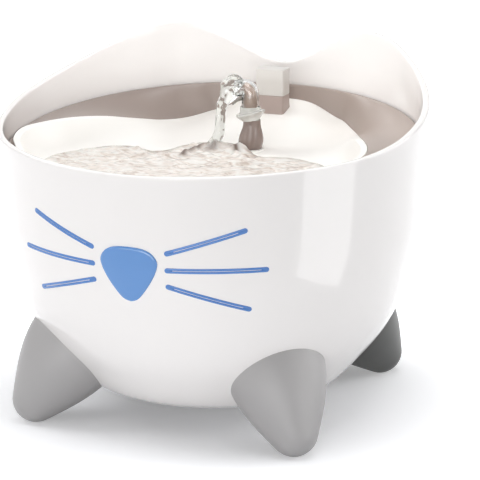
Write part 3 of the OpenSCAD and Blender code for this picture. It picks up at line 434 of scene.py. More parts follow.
def pool_finish():
    """Water over a white tray: painted reflections of the deck and walls as pale and taupe
    streaks, painted shade on the crests and along the back edge, and a painted highlight on the
    curl.
    """
    mat = finish_of("pool water", (240, 230, 222), 0.07, mottle=0.02, bump=0.0,
                    transmission=0.3, ior=1.33)
    nt = mat.node_tree
    lay = step(nt, "ShaderNodeMapping", {
        "Rotation": (0, 0, -0.45), "Scale": (1, 1.5, 1),
        "Vector": step(nt, "ShaderNodeTexCoord", {}, "Object")})
    ripple_reflection = step(nt, "ShaderNodeTexNoise", {
        "Scale": 92, "Detail": 2.5, "Roughness": 0.5, "Distortion": 1.8, "Vector": lay})
    tone = nt.nodes.new("ShaderNodeValToRGB")
    fill(nt, tone, {"Fac": ripple_reflection})
    stops = tone.color_ramp.elements
    # the ramp paints the ripples' reflections: the deck's taupe at its dark end, the white walls
    # and highlights at its light end
    for k, (at, colour) in enumerate(((0.34, (212, 198, 188)), (0.42, (236, 226, 218)),
                                      (0.52, (250, 243, 237)), (0.6, (255, 253, 249)))):
        stop = stops[k] if k < 2 else stops.new(at)
        stop.position = at
        stop.color = srgb(*colour)
    colour = tone.outputs["Color"]
    # the first attribute paints shade, the second paints a highlight on the curl in front of the
    # stem
    for name, full in (("shade", (122, 104, 95)), ("foam", (255, 253, 250))):
        amount = step(nt, "ShaderNodeAttribute", {}, "Fac", attribute_name=name)
        colour = blend(nt, colour, srgb(*full), amount)
    fill(nt, nt.nodes["Principled BSDF"], {"Base Color": colour})
    return mat


WATER_POOL = pool_finish()
CAP_WHITE = finish_of("tower cap plastic", (219, 215, 210), 0.3, mottle=0.01, bump=0.03)
RUBBER = finish_of("black rubber", (45, 45, 47), 0.6, mottle=0.06, bump=0.15)
PUMP_BLACK = finish_of("pump black", (48, 50, 54), 0.4, mottle=0.04, bump=0.12)
INNER_WHITE = finish_of("inner white plastic", (226, 228, 230), 0.35, mottle=0.015, bump=0.05)
CUP_SMOKE = finish_of("smoked cup plastic", (200, 205, 210), 0.18, mottle=0.02,
                      bump=0.02, alpha=0.75)
FOAM = finish_of("filter foam", (70, 84, 98), 0.9, mottle=0.35, bump=0.9, grain=300)
CARBON = finish_of("carbon fleece", (40, 40, 43), 0.95, mottle=0.35, bump=0.9, grain=420)
BOARD = finish_of("circuit board", (30, 110, 66), 0.35, mottle=0.1, bump=0.1)
LED = finish_of("led body", (240, 240, 220), 0.1, mottle=0.02, bump=0.0, transmission=0.7)
STEEL = finish_of("stainless steel", (196, 198, 202), 0.24, mottle=0.03, bump=0.1, metallic=1.0)
FERRITE = finish_of("ferrite", (58, 58, 62), 0.5, mottle=0.08, bump=0.1)
IRON = finish_of("core iron", (130, 132, 136), 0.4, mottle=0.06, bump=0.1, metallic=0.9)
COPPER = finish_of("enamelled copper", (184, 104, 52), 0.3, mottle=0.08, bump=0.2, metallic=0.9)
BUSH = finish_of("bearing plastic", (205, 198, 180), 0.4, mottle=0.03, bump=0.05)
SILICONE = finish_of("silicone", (225, 225, 220), 0.4, mottle=0.02, bump=0.03, alpha=0.85)

# ---- bowl

AROUND = 288
azimuths = np.linspace(-180, 180, AROUND, endpoint=False)


def on_azimuth(azimuth, r, z):
    """A point at a radius and height on an azimuth from the nose, in degrees."""
    a = math.radians(azimuth)
    return (r * math.sin(a), -r * math.cos(a), z)


bowl_path = spline(BOWL_CURVE, 10)
bowl_path[:, 1] = np.maximum(0, bowl_path[:, 1]) + BOWL_LIFT
wall = bowl_path[bowl_path[:, 0] > 50]


def bowl_r(z):
    """Outer radius of the bowl at a height."""
    return float(np.interp(z, wall[:, 1], wall[:, 0]))


def moved(path, d):
    """A (radius, height) line moved square to itself, outward when d is positive."""
    t = np.gradient(path, axis=0)
    t /= np.linalg.norm(t, axis=1)[:, None]
    return np.c_[np.maximum(0, path[:, 0] + d * t[:, 1]), path[:, 1] - d * t[:, 0]]


inner_path = moved(bowl_path, -BOWL_WALL)
inner_path[:, 0] = np.minimum(inner_path[:, 0], THROAT_R)
inner_wall = inner_path[inner_path[:, 0] > 50]
# the rim's height changes round the bowl only above this height
SPLIT = 148.0
RIM_HALF, RIM_SHAPE = 1.3, 0.62


def inner_r(z):
    return float(np.interp(z, inner_wall[:, 1], inner_wall[:, 0]))


def below_split(path):
    return [tuple(q) for q in path[(path[:, 1] < SPLIT - 1) & (path[:, 0] > 1)]]


def bowl_outline(azimuth):
    """Outside from the middle of the underside, over the rim and down inside to the floor."""
    top = table_at(RIM_CURVE, abs(azimuth)) - RIM_HALF
    levels = SPLIT + (top - SPLIT) * np.linspace(0, 1, 14)
    out = below_split(bowl_path) + [(bowl_r(z), z) for z in levels]
    ro, ri = out[-1][0], inner_r(top)
    mid, half = (ro + ri) / 2, (ro - ri) / 2
    for t in np.linspace(0, math.pi, 9)[1:-1]:
        # a flattened half round: quick at the edges and nearly level in the middle
        c, s = math.cos(t), math.sin(t)
        out.append((mid + half * math.copysign(abs(c)**RIM_SHAPE, c),
                    top + RIM_HALF * abs(s)**RIM_SHAPE))
    return out + [(inner_r(z), z) for z in levels[::-1]] + below_split(inner_path)[::-1]


outlines = [bowl_outline(a) for a in azimuths]
rings = [[on_azimuth(a, *outlines[i][k]) for i, a in enumerate(azimuths)]
         for k in range(len(outlines[0]))]
bowl = loft("bowl_shell", rings, (0, 0, BOWL_LIFT), (0, 0, BOWL_LIFT + BOWL_WALL), sharp=50)


def deck_top(y):
    """Height of the deck's top plane at a distance behind the middle."""
    return DECK_Z + y * math.tan(DECK_TILT)


# ledge inside the wall on which the deck's edge rests, with a sloped underside
ledge_rings = []
for dr, dz in ((0.8, -5.1), (-2.2, -5.1), (-2.6, -5.5), (-2.6, -7.6), (-0.2, -9.6), (0.8, -9.6)):
    r = THROAT_R + dr
    ledge_rings.append([on_azimuth(a, r, deck_top(-r * math.cos(math.radians(a))) + dz)
                        for a in azimuths])
ledge = loft("bowl_ledge", ledge_rings, closed=True, sharp=30)


# ---- deck and tray

# the whole ring: the rows of one side and, mirrored, those of the other
ring_rows = np.array(TRAY_ROWS + [(r, z, -x, y) for r, z, x, y in TRAY_ROWS[-2:0:-1]])
SECTIONS = 360


def row_at(angle):
    """Row of the tray table at an angle from the back, in degrees, on a smooth curve."""
    i = int(math.floor(angle / 10.0))
    return smooth(*(ring_rows[(i + k) % 36] for k in (-1, 0, 1, 2)), angle / 10.0 - i)


def heading(angle):
    a = math.radians(angle)
    return np.array([math.sin(a), math.cos(a)])


angles = np.linspace(0, 360, SECTIONS, endpoint=False)
LIP_W, LIP_DROP, LIP_T, TRAY_WALL, GAP = 4.0, 1.2, 1.8, 2.2, 0.3
SKIRT_R = DECK_R - 2.2


def deck_section(angle):
    """Outline of the deck on one heading, as (radius, height)."""
    row, w = row_at(angle), heading(angle)
    rb, zb = min(row[0], TRAY_REACH), row[1]
    te, ts = deck_top(DECK_R * w[1]), deck_top(SKIRT_R * w[1])
    narrow = max(0, min(1, 1 - (SKIRT_R - rb - 2.3) / 12))
    fall, rise = max(0, ts - zb), max(0, zb - ts)
    c, d = rb + GAP, rb - LIP_W
    zc, zd = zb - LIP_T - GAP, zb - LIP_DROP - TRAY_WALL - GAP
    out = []
    out += corner((DECK_R, te - DECK_T), (DECK_R, te), (SKIRT_R, ts), 0.6)
    # bank from the deck's level ring down, or up, to the tray: level at first, then steeper
    reach = SKIRT_R - c
    bank = []
    for u in np.linspace(0, 1, 22):
        bank.append((SKIRT_R - reach * u, ts + (zb - ts) * (u * u * (3 - 2 * u) * 0.5 + u * 0.5)))
    out += bank[:-1]
    out += corner(bank[-2], bank[-1], (c, zc), 0.5)
    out += [(c, zc), (d, zd), (d, zd - 3), (c, zc - 3 - narrow * rise / 2),
            (SKIRT_R, ts - DECK_T - narrow * fall), (SKIRT_R, ts - DECK_T), (DECK_R, te - DECK_T)]
    return out


deck_rows = [deck_section(a) for a in angles]
deck_rings = [[(*(row[k][0] * heading(a)), row[k][1]) for a, row in zip(angles, deck_rows)]
              for k in range(len(deck_rows[0]))]
deck = loft("deck_shell", deck_rings, closed=True, sharp=42)


def tray_section(angle):
    """Outline of the tray on one heading: basin, bank and lip, then the underside back inward."""
    row, w = row_at(angle), heading(angle)
    rb, zb = min(row[0], TRAY_REACH), row[1]
    shore = np.array(row[2:4])
    lip, zl = (rb - LIP_W) * w, zb - LIP_DROP
    mid = np.array([0, -BASIN_Y])

    def basin(u, drop=0.0):
        return (*(mid + u * (shore - mid)), BASIN_Z + (POOL_Z - BASIN_Z) * u * u - drop)

    def bank(u, drop=0.0):
        return (*(shore + u * (lip - shore)), POOL_Z + (zl - POOL_Z) * u * u - drop)

    top = [basin(u) for u in (0.06, 0.15, 0.27, 0.4, 0.53, 0.66, 0.78, 0.88, 0.95, 1.0)]
    top += [bank(u) for u in np.linspace(0, 1, 18)[1:]]
    under = (*(rb * w), zb - LIP_T)
    top += [tuple(q) for q in corner(top[-1], (*(rb * w), zb), under, 0.5)]
    low = [under, (*lip, zl - TRAY_WALL)]
    low += [bank(u, TRAY_WALL) for u in np.linspace(0, 1, 8)[::-1][1:]]
    return top + low + [basin(u, TRAY_WALL) for u in (0.78, 0.53, 0.27)]


tray_rows = [tray_section(a) for a in angles]
tray_rings = [[tray_rows[i][k] for i in range(SECTIONS)] for k in range(len(tray_rows[0]))]
tray = loft("tray_shell", tray_rings, (0, -BASIN_Y, BASIN_Z),
            (0, -BASIN_Y, BASIN_Z - TRAY_WALL), sharp=42)


def cut(obj, tool, operation="DIFFERENCE"):
    """Cuts obj with tool, then removes the tool."""
    mod = obj.modifiers.new("cut", "BOOLEAN")
    mod.operation = operation
    mod.object = tool
    mod.solver = "EXACT"
    dg = bpy.context.evaluated_depsgraph_get()
    mesh = bpy.data.meshes.new_from_object(obj.evaluated_get(dg))
    obj.modifiers.clear()
    old = obj.data
    obj.data = mesh
    mesh.name = old.name
    bpy.data.meshes.remove(old)
    drop(tool)
    obj.data.shade_smooth()
    obj.data.set_sharp_from_angle(angle=math.radians(42))
    return obj


# level pad for the stem's foot, and the holes for the stem and the tower
PAD_LOW, STEM_HOLE_R, TOWER_PLAY = POOL_Z - 1.2, 5.66, 0.9
cut(tray, turned("pad", [(0, PAD_LOW), (PAD_R, PAD_LOW), (PAD_R, PAD_Z - 0.3),
                         (PAD_R - 0.3, PAD_Z), (0, PAD_Z)], SPOUT, 64), "UNION")
cut(tray, turned("tray spout hole", pin(STEM_HOLE_R, 120, 200), SPOUT, 64))
cut(tray, post("tray tower hole", [(TOWER_W + TOWER_PLAY, z) for z in (120, 200)],
               TOWER_MID, TOWER_EDGE + 0.3, TOWER_SLIM))


def block(name, low, high):
    """A closed box between two corners, used as a cutter or as a plate."""
    (x0, y0, z0), (x1, y1, z1) = low, high
    rings = [[(x0, y0, z), (x1, y0, z), (x1, y1, z), (x0, y1, z)] for z in (z0, z1)]
    mid = ((x0 + x1) / 2, (y0 + y1) / 2)
    return loft(name, rings, (*mid, z0), (*mid, z1), sharp=30)


# plate inside the deck that carries the connector tower
PLATE_W, PLATE_T = 22.0, 3.2
back_y = TRAY_REACH - LIP_W - 3
cut(deck, block("plate", (-PLATE_W / 2, TOWER_Y - 9, PLATE_Z - PLATE_T),
                (PLATE_W / 2, back_y + 1, PLATE_Z)), "UNION")
cut(deck, block("upright", (-PLATE_W / 2, back_y, PLATE_Z - PLATE_T),
                (PLATE_W / 2, TRAY_REACH, PLATE_Z + 1)), "UNION")

# ---- feet

foot_outline = [(0.0, -FOOT_TIP)]
foot_outline += [(FOOT_TIP * math.cos(a), FOOT_TIP * math.sin(a))
                 for a in np.radians(np.arange(-84, -33, 6))]
foot_outline += [tuple(q) for q in spline([(FOOT_TIP * math.cos(math.pi / 6), -FOOT_TIP / 2)]
                                          + FOOT_CURVE, 8)]
foot_outline += [(0.0, FOOT_CURVE[-1][1])]


def foot_frame(spec):
    """Tip centre and the side, third and axis directions of a foot."""
    a = math.radians(spec[0])
    c, s = math.cos(FOOT_SLOPE), math.sin(FOOT_SLOPE)
    out = np.array([math.sin(a), -math.cos(a), 0.0])
    axis = -c * out + s * np.array([0, 0, 1.0])
    side = np.array([math.cos(a), math.sin(a), 0.0])
    return out * spec[1] + np.array([0, 0, FOOT_TIP - FOOT_FLAT]), side, np.cross(axis, side), axis


def on_foot(obj, spec):
    """Moves a piece that was turned about +Z onto a foot's axis."""
    base, side, third, axis = foot_frame(spec)
    co = points_of(obj)
    return set_points(obj, base * MM + np.outer(co[:, 0], side) + np.outer(co[:, 1], third)
                      + np.outer(co[:, 2], axis))


def wall_cross(spec):
    """Distance along a foot's axis at which it enters the bowl's wall."""
    base, _, _, axis = foot_frame(spec)
    for t in np.arange(15, 60, 0.25):
        p = base + t * axis
        if math.hypot(p[0], p[1]) < bowl_r(p[2]):
            return t
    return 30.0


def bowl_solid(grow):
    """The whole volume that the bowl's outer wall encloses, moved out by grow."""
    return turned("bowl solid", [tuple(q) for q in moved(bowl_path, grow)] + [(0, 215)], n=256)


def foot(name, spec):
    obj = on_foot(turned(name, foot_outline, n=128), spec)
    cut(obj, bowl_solid(0.05))
    return cut(obj, block("floor block", (-200, -200, -60), (200, 200, 0)))


for name, spec in FEET.items():
    stand_in(foot(name + "_cone", spec), FOOT_PAINTED_SHADE if "back" in name else FOOT_GREY, name)

SCREW_R, SCREW_HEAD_R, SCREW_SEAT = 2.0, 4.0, 7.0
for spec in FEET.values():
    seat_at = wall_cross(spec) + SCREW_SEAT
    boss = on_foot(turned("boss", [(0, 8), (SCREW_HEAD_R + 2.5, 8),
                                   (SCREW_HEAD_R + 2.5, seat_at - 0.4),
                                   (SCREW_HEAD_R + 2.1, seat_at), (0, seat_at)], n=48), spec)
    cut(boss, bowl_solid(-1), "INTERSECT")
    cut(bowl, boss, "UNION")
    cut(bowl, on_foot(turned("screw hole", pin(SCREW_R + 0.1, 5, 80), n=32), spec))


def radial_rod(name, r, z, start, stop, sign):
    """A rod along Y at a height, for a hole through the bowl's wall; sign picks front or back."""
    obj = turned(name, pin(r, start, stop), n=64)
    co = points_of(obj)
    return set_points(obj, np.c_[co[:, 0], sign * co[:, 2], co[:, 1] + z * MM])


cut(bowl, radial_rod("nose hole", 10.0, NOSE_Z, THROAT_R - 12, THROAT_R + 20, -1))
cut(bowl, radial_rod("grommet hole", GROMMET_NECK, GROMMET_Z, THROAT_R - 10, THROAT_R + 20, 1))

# ---- nose and whiskers


def on_front(x, z, proud, azimuth=0.0):
    """A point of the bowl's front seen along an azimuth, standing proud of it."""
    r = bowl_r(z) + proud
    a = math.radians(azimuth)
    y = -math.sqrt(r * r - x * x)
    return (x * math.cos(a) - y * math.sin(a), x * math.sin(a) + y * math.cos(a), z)


half = spline(NOSE_HALF, 8)
nose_outline = np.vstack([half, [(-q[0], q[1]) for q in half[-2:0:-1]]])
nose_rings = []
for s, h in ((1.0, -1.1), (1.0, 0.35), (0.985, 0.75), (0.955, 1.0), (0.91, 1.12), (0.85, 1.2),
             (0.7, 1.35), (0.5, 1.5), (0.3, 1.6), (0.12, 1.65)):
    nose_rings.append([on_front(s * x, NOSE_Z + s * z, h * NOSE_PROUD / 1.2)
                       for x, z in nose_outline])
nose = loft("nose_lens_dome", nose_rings, on_front(0, NOSE_Z, -1.1),
            on_front(0, NOSE_Z, 1.65 * NOSE_PROUD / 1.2), sharp=None)


def whisker(name, side, outer, inner):
    """A round-ended bar between two (azimuth, height) ends on the bowl's front."""
    mid = (outer[0] + inner[0]) / 2 * side
    z_mid = (outer[1] + inner[1]) / 2
    across = side * math.sin(math.radians((outer[0] - inner[0]) / 2))
    p = np.array([-across * bowl_r(inner[1]), inner[1] - z_mid])
    q = np.array([across * bowl_r(outer[1]), outer[1] - z_mid])
    d = q - p
    length = np.linalg.norm(d)
    d /= length
    n = np.array([-d[1], d[0]])
    r = WHISKER_W / 2
    shares = np.linspace(0, 1, 26)[1:-1]

    def end_cap(at, first, last):
        turns = np.radians(np.linspace(first, last, 13))
        return [at + r * (math.cos(t) * d + math.sin(t) * n) for t in turns]

    loop = end_cap(q, -90, 90) + [q + (p - q) * t + r * n for t in shares]
    loop = np.array(loop + end_cap(p, 90, 270) + [p + (q - p) * t - r * n for t in shares])
    # the middle line of the bar, for rings that shrink towards it
    along = np.clip((loop - p) @ d, 0, length)
    spine = p + np.outer(along, d)
    rings = []
    for s, h in ((1, -1.1), (1, 0.1), (0.93, 0.26), (0.8, 0.36), (0.5, 0.42), (0.15, 0.45)):
        rings.append([on_front(x, z_mid + z, h * WHISKER_PROUD / 0.4, mid)
                      for x, z in spine + s * (loop - spine)])
    return loft(name, rings, np.mean(rings[0], 0), np.mean(rings[-1], 0), sharp=None)


stand_in(nose, BLUE_LENS, "nose_lens")
for side_name, side in (("left", -1), ("right", 1)):
    for key, (outer, inner) in WHISKER_ENDS.items():
        node = f"whisker_{side_name}_{key}"
        stand_in(whisker(node + "_bar", side, outer, inner), BLUE_INLAY, node)

# ---- spout and tower


def bent(path, radii, n=64):
    """Rings along a path in the plane of the spout, square to the path."""
    path, radii = np.asarray(path, float), np.asarray(radii, float)
    tangent = np.gradient(path[:, :3], axis=0)
    a = circle(n)
    rings = []
    for (x, y, z), (tx, _, tz), r in zip(path[:, :3], tangent, radii):
        m = math.hypot(tx, tz)
        rings.append(np.c_[x + r * tz / m * np.cos(a), y + r * np.sin(a),
                           z - r * tx / m * np.cos(a)])
    return rings


SX, SY = SPOUT
BORE_WALL = 0.8
FUNNEL = [(5.2, 2.9), (5.7, 3.3), (6.7, 4.5), (7.8, 5.8), (8.4, 6.4), (8.55, 6.9), (8.5, 7.5),
          (8.1, 7.9), (7.3, 8.0), (6.6, 8.3), (6.2, 8.9), (6.15, 10.6), (5.95, 11.2), (5.7, 11.3),
          (5.5, 10.9), (5.4, 8.0)]
TUBE = [(5.35, 9.0), (5.3, 11), (5.2, 14), (5.1, 17), (5.0, 19)]


def above_stem(points):
    """Points given from the top of the stem."""
    return [(SX + x, SY + y, STEM_TOP + z) for x, y, z in points]


def funnel():
    """Frosted cone under the tube, its rim a little higher on the side away from the mouth."""
    a = circle(72)
    rings = []
    for r, h in FUNNEL:
        tip = 0.22 * r * np.cos(a) * (min(1, h / 6) if h < 8.2 else max(0.0, (10.6 - h) / 2.4))
        rings.append(np.c_[SX + r * np.cos(a), SY + r * np.sin(a), STEM_TOP + h + tip])
    return loft("spout_funnel", rings, (SX, SY, STEM_TOP + 0.2),
                (SX, SY, STEM_TOP + 7.5), sharp=35)


def nozzle():
    """Clear tube and elbow, a thin wall that is open at the mouth."""
    elbow = spline(above_stem([(0, 0, 19), (-0.5, 0, 20.8), (-2.6, -0.1, 22.2), (-5.4, -0.3, 22.2),
                               (-8.2, -0.5, 21.6)]), 5)
    path = np.vstack([above_stem([(0, 0, h) for _, h in TUBE[:-1]]), elbow])
    radii = np.r_[[r for r, _ in TUBE[:-1]], np.linspace(5.0, 4.9, len(elbow))]
    outside = bent(path, radii)
    inside = bent(path, radii - BORE_WALL)
    return loft("spout_nozzle_clear", outside + inside[::-1], closed=True, sharp=40)


def feed():
    """Brown inner tube with a round top that leans to the mouth."""
    path = spline(above_stem([(0, 0, 7.8), (0, 0, 12), (0, 0, 16), (-0.4, 0, 19.6),
                              (-1.9, 0, 22.4), (-4.2, 0, 23.9)]), 5)
    radii = np.interp(np.linspace(0, 1, len(path)), [0, 0.2, 0.45, 0.62, 0.8, 0.95, 1],
                      [4.2, 4.1, 3.9, 3.4, 2.7, 2.2, 1.5])
    return loft("spout_feed_tube", bent(path, radii, 48), path[0], path[-1], sharp=40)


def tongue():
    """Short lip under the mouth that the water slides over."""
    path = spline(above_stem([(-4.6, -0.3, 15.8), (-7.4, -0.5, 14.9), (-10.4, -0.7, 12.7)]), 6)
    rings = []
    a = circle(32)
    for k, (x, y, z) in enumerate(path):
        w = 3.4 * math.sin(math.pi * (0.12 + 0.76 * k / (len(path) - 1)))**0.5
        rings.append(np.c_[x + 0.35 * np.sin(a), y + w * np.cos(a), z + 1.25 * np.sin(a)])
    return loft("spout_tongue", rings, path[0], path[-1], sharp=None)


stand_in(funnel(), FROSTED, "spout_nozzle")
stand_in(nozzle(), CLEAR, "spout_nozzle")
place(feed(), "spout", "taupe", STEM_CORE)
place(tongue(), "spout", "taupe", TONGUE)
VASE = [(6.5, 0.1), (6.9, 0.6), (7.25, 2.4), (7.5, 4.4), (7.4, 6.4), (6.9, 8.6), (6.2, 10.8),
        (5.6, 12.6), (5.3, 14.6), (5.2, 17.4)]
a = circle(64)
vase_rings = []
# a straight root in the tray's hole, then a vase that leans a little to the right and back
for lean, outline in ((0, [(5.6, -5.6), (5.6, 0.1)]), (1, VASE)):
    for r, h in outline:
        rise = lean * min(h, 12)
        vase_rings.append(np.c_[SX + 0.07 * rise + r * np.cos(a),
                                SY + 0.03 * rise + r * np.sin(a), np.full(64, PAD_Z + h)])
stem = loft("spout_stem_vase", vase_rings, (SX, SY, PAD_Z - 5.6),
            (SX + 1.2, SY + 0.4, PAD_Z + 17.4), sharp=35)
stand_in(stem, STEM_SMOKE, "spout_stem")

# stream: a glassy bulb at the mouth, then a thin uneven sheet that falls to the pool
STREAM = [
    (6.5, 27.6, 185.0, 3.0), (4.9, 27.5, 186.2, 4.8), (3.0, 27.4, 186.4, 5.9),
    (1.0, 27.3, 184.9, 6.1), (-0.6, 27.2, 182.2, 5.3), (-1.9, 27.1, 179.2, 4.1),
    (-3.2, 27.0, 176.6, 3.3), (-4.3, 26.95, 174, 2.9), (-5.0, 26.9, 171, 2.8),
    (-5.5, 26.8, 167, 2.9), (-6.1, 26.7, 161, 2.9), (-6.6, 26.6, 157, 2.8),
    (-7.6, 26.4, 154.3, 2.8), (-8.6, 26.2, 151.8, 3.3), (-9.0, 26.1, 150, 4.2),
]
rows = spline(STREAM, 6)
rng = np.random.default_rng(7)
wobble = np.interp(np.arange(len(rows)), np.linspace(0, len(rows) - 1, 30),
                   rng.normal(0, 0.05, 30))
a = circle(56)
tangent = np.gradient(rows[:, :3], axis=0)
stream_rings = []
for k, (x, y, z, r) in enumerate(rows):
    tx, _, tz = tangent[k]
    m = math.hypot(tx, tz)
    # lobes along the stream make the edges of the sheet thicker than its middle
    bulb = math.exp(-((k - 16) / 12)**2)
    lobes = (1 + 0.07 * np.cos(3 * a + 0.16 * k) + 0.05 * np.cos(5 * a - 0.11 * k) + wobble[k]
             + bulb * 0.05 * np.cos(7 * a + 0.5 * k) + 0.13 * np.cos(2 * a))
    stream_rings.append(np.c_[x + r * lobes * tz / m * np.cos(a), y + 0.85 * r * lobes * np.sin(a),
                              z - r * lobes * tx / m * np.cos(a)])
stream = loft("water_stream", stream_rings, rows[0][:3], rows[-1][:3], sharp=None)
place(stream, "spout", "clear", WATER_CLEAR)

base = post("tower_base", [
    (11, PLATE_Z + 0.05), (TOWER_W + 0.6, PLATE_Z + 0.05), (TOWER_W + 0.6, PLATE_Z + 7.2),
    (TOWER_W + 0.4, PLATE_Z + 8.8), (TOWER_W + 0.2, PLATE_Z + 10.8),
    (TOWER_W + 0.2, TOWER_SEAM - 0.3), (TOWER_W - 0.2, TOWER_SEAM), (TOWER_W - 3.8, TOWER_SEAM),
    (TOWER_W - 3.8, TOWER_SEAM + 3), (11.8, TOWER_SEAM + 3)], TOWER_MID, TOWER_EDGE, TOWER_SLIM)
stand_in(base, TOWER_TAUPE, "connector_tower")
seam = TOWER_SEAM + 0.1
cap_top = seam + CAP_H
cap = post("tower_cap_shell", [
    (TOWER_W - 3, cap_top - 1.6), (TOWER_W - 3, seam), (TOWER_W - 0.2, seam),
    (TOWER_W + 0.2, seam + 0.4), (TOWER_W + 0.2, cap_top - 0.9), (TOWER_W, cap_top - 0.45),
    (TOWER_W - 0.4, cap_top - 0.15), (TOWER_W - 1.1, cap_top),
    (TOWER_SLIM + 3, cap_top + 0.05)], TOWER_MID, TOWER_EDGE, TOWER_SLIM)
stand_in(cap, CAP_WHITE, "tower_cap")

# ---- water in the tray

WATER_MID = (0.0, -40.0)
WATER_EDGE = [
    (-2.6, 37.5), (2.5, 35), (7.5, 30), (11, 25), (16, 21.5), (21, 15), (27.9, 10), (35.2, 12.2),
    (43.4, 13.6), (53.5, 10.8), (60.8, 6.6), (67.9, 1.3), (75, -5), (83, -15), (87.5, -30),
    (88, -46), (83, -62), (72, -77), (56, -89), (38, -98), (19, -103), (0, -104), (-19, -103),
    (-38, -98), (-56, -89), (-72, -77), (-83, -62), (-88, -50), (-89.3, -41), (-88.9, -30.5),
    (-86, -20.2), (-81.4, -12.1), (-76.5, -4), (-70.8, 3.6), (-62.2, 8.3), (-55, 9.9),
    (-47.3, 4.8), (-41.1, 2.7), (-35.6, 5), (-31.2, 11.4), (-29, 20), (-25.5, 28.5), (-20.5, 35),
    (-14, 38), (-8, 38.5),
]
POOL_LEVEL = POOL_Z + 0.14
FOOT_AT = (-8.6, 25.0)
# crest of the splash, left and right of the stream's foot
CREST = [
    [(-18, -3.7), (-19.6, 5.6), (-17.4, 13), (-15.8, 19), (-12.4, 22.6)],
    [(-5, 24.6), (-1, 24.4), (3.2, 22.4), (6.6, 18.6), (8.6, 15)],
]
tray_tree = BVHTree.FromPolygons([v.co.copy() for v in tray.data.vertices],
                                 [tuple(p.vertices) for p in tray.data.polygons])
ABOVE_ALL, BELOW_BASIN = 0.22, 0.13


def tray_z(x, y):
    """Height of the tray's upper surface, in millimetres."""
    hit = tray_tree.ray_cast(Vector((x * MM, y * MM, ABOVE_ALL)), Vector((0, 0, -1)))[0]
    return hit.z / MM if hit is not None and hit.z > BELOW_BASIN else POOL_Z


WAVES = []
rng = np.random.default_rng(11)
for k in range(34):
    length = rng.uniform(5, 9) if k < 20 else rng.uniform(9, 24)
    heading_k = rng.normal(1.9, 0.75)
    WAVES.append((2 * math.pi / length * math.cos(heading_k),
                  2 * math.pi / length * math.sin(heading_k),
                  rng.uniform(0, 2 * math.pi), 0.0085 * length))


def crest_distance(x, y, line):
    """Distance of points from a crest of the splash."""
    p = spline(line, 10)[:, :2]
    d = np.full(x.shape, 1e9)
    for q0, q1 in zip(p[:-1], p[1:]):
        leg = q1 - q0
        t = np.clip(((x - q0[0]) * leg[0] + (y - q0[1]) * leg[1]) / max(1e-9, leg @ leg), 0, 1)
        d = np.minimum(d, np.hypot(x - q0[0] - t * leg[0], y - q0[1] - t * leg[1]))
    return d


def swell(x, y):
    """Rise of the water over its calm level: ripples, the splash and the wave round the stem."""
    h = sum(amp * np.sin(kx * x + ky * y + ph) for kx, ky, ph, amp in WAVES)
    df = np.hypot(x - FOOT_AT[0], y - FOOT_AT[1])
    around_foot = np.arctan2(y - FOOT_AT[1], x - FOOT_AT[0])
    h = h * (1 + 0.9 * np.exp(-(df / 24)**2))
    h += 0.35 * np.cos(df * 2 * math.pi / 7.5) * np.exp(-df / 30)
    petals = 1 + 0.25 * np.cos(5 * around_foot + 1) * np.minimum(1, df / 3)
    h += 4.0 * np.exp(-(df / 4.2)**2) * petals
    h += 0.9 * np.exp(-(np.hypot(x + 9, y - 27) / 15)**4)
    for line, rise in zip(CREST, (1.7, 1.5)):
        h += rise * np.exp(-(crest_distance(x, y, line) / 1.7)**2)
    ds = np.hypot(x - SPOUT[0], y - SPOUT[1])
    side = np.arctan2(y - SPOUT[1], x - SPOUT[0]) - math.radians(252)
    h += 4.6 * np.exp(-((ds - 7.0) / 2.6)**2) * np.maximum(0, np.cos(side))**2
    return h


edge = np.array(WATER_EDGE, float)
path = spline(np.vstack([edge[-2:], edge, edge[:3]]), 14)[14 * 2:-14 * 2]
turn = np.arctan2(path[:, 0] - WATER_MID[0], path[:, 1] - WATER_MID[1])
reach = np.hypot(path[:, 0] - WATER_MID[0], path[:, 1] - WATER_MID[1])
POOL_N = 640
even = np.linspace(-math.pi, math.pi, POOL_N, endpoint=False)
bearings = even - 0.3 * np.sin(even)
edge_r = np.interp(bearings, turn, reach, period=2 * math.pi)
shares = np.concatenate([np.linspace(0.03, 0.4, 10), np.linspace(0.41, 0.972, 88),
                         [0.98, 0.987, 0.993, 0.997, 1.0]])
pool_x = WATER_MID[0] + np.outer(shares, edge_r * np.sin(bearings))
pool_y = WATER_MID[1] + np.outer(shares, edge_r * np.cos(bearings))
bed = np.array([[tray_z(x, y) for x, y in zip(*row)] for row in zip(pool_x, pool_y)])
inset = (1 - shares)[:, None] * edge_r[None, :]
ease = np.clip(inset / 3.0, 0, 1)
fade = ease * ease * (3 - 2 * ease)
back_edge = 0.35 * np.exp(-((inset - 0.9) / 0.7)**2) * (np.abs(bearings) < 2)
level = POOL_LEVEL + fade * swell(pool_x, pool_y) + back_edge
top = bed + 0.02 + np.maximum(0.14 * fade, (level - bed) * np.clip(inset / 0.8, 0, 1))
rings_up = [np.c_[pool_x[k], pool_y[k], top[k]] for k in range(len(shares))]
rings_low = [np.c_[pool_x[k], pool_y[k], bed[k] - 0.3]
             for k in list(range(len(shares) - 1, 0, -6)) + [0]]
water = loft("water_pool", rings_up + rings_low, (*WATER_MID, float(top[0].mean())),
             (*WATER_MID, float(bed[0].mean()) - 0.3), sharp=None)
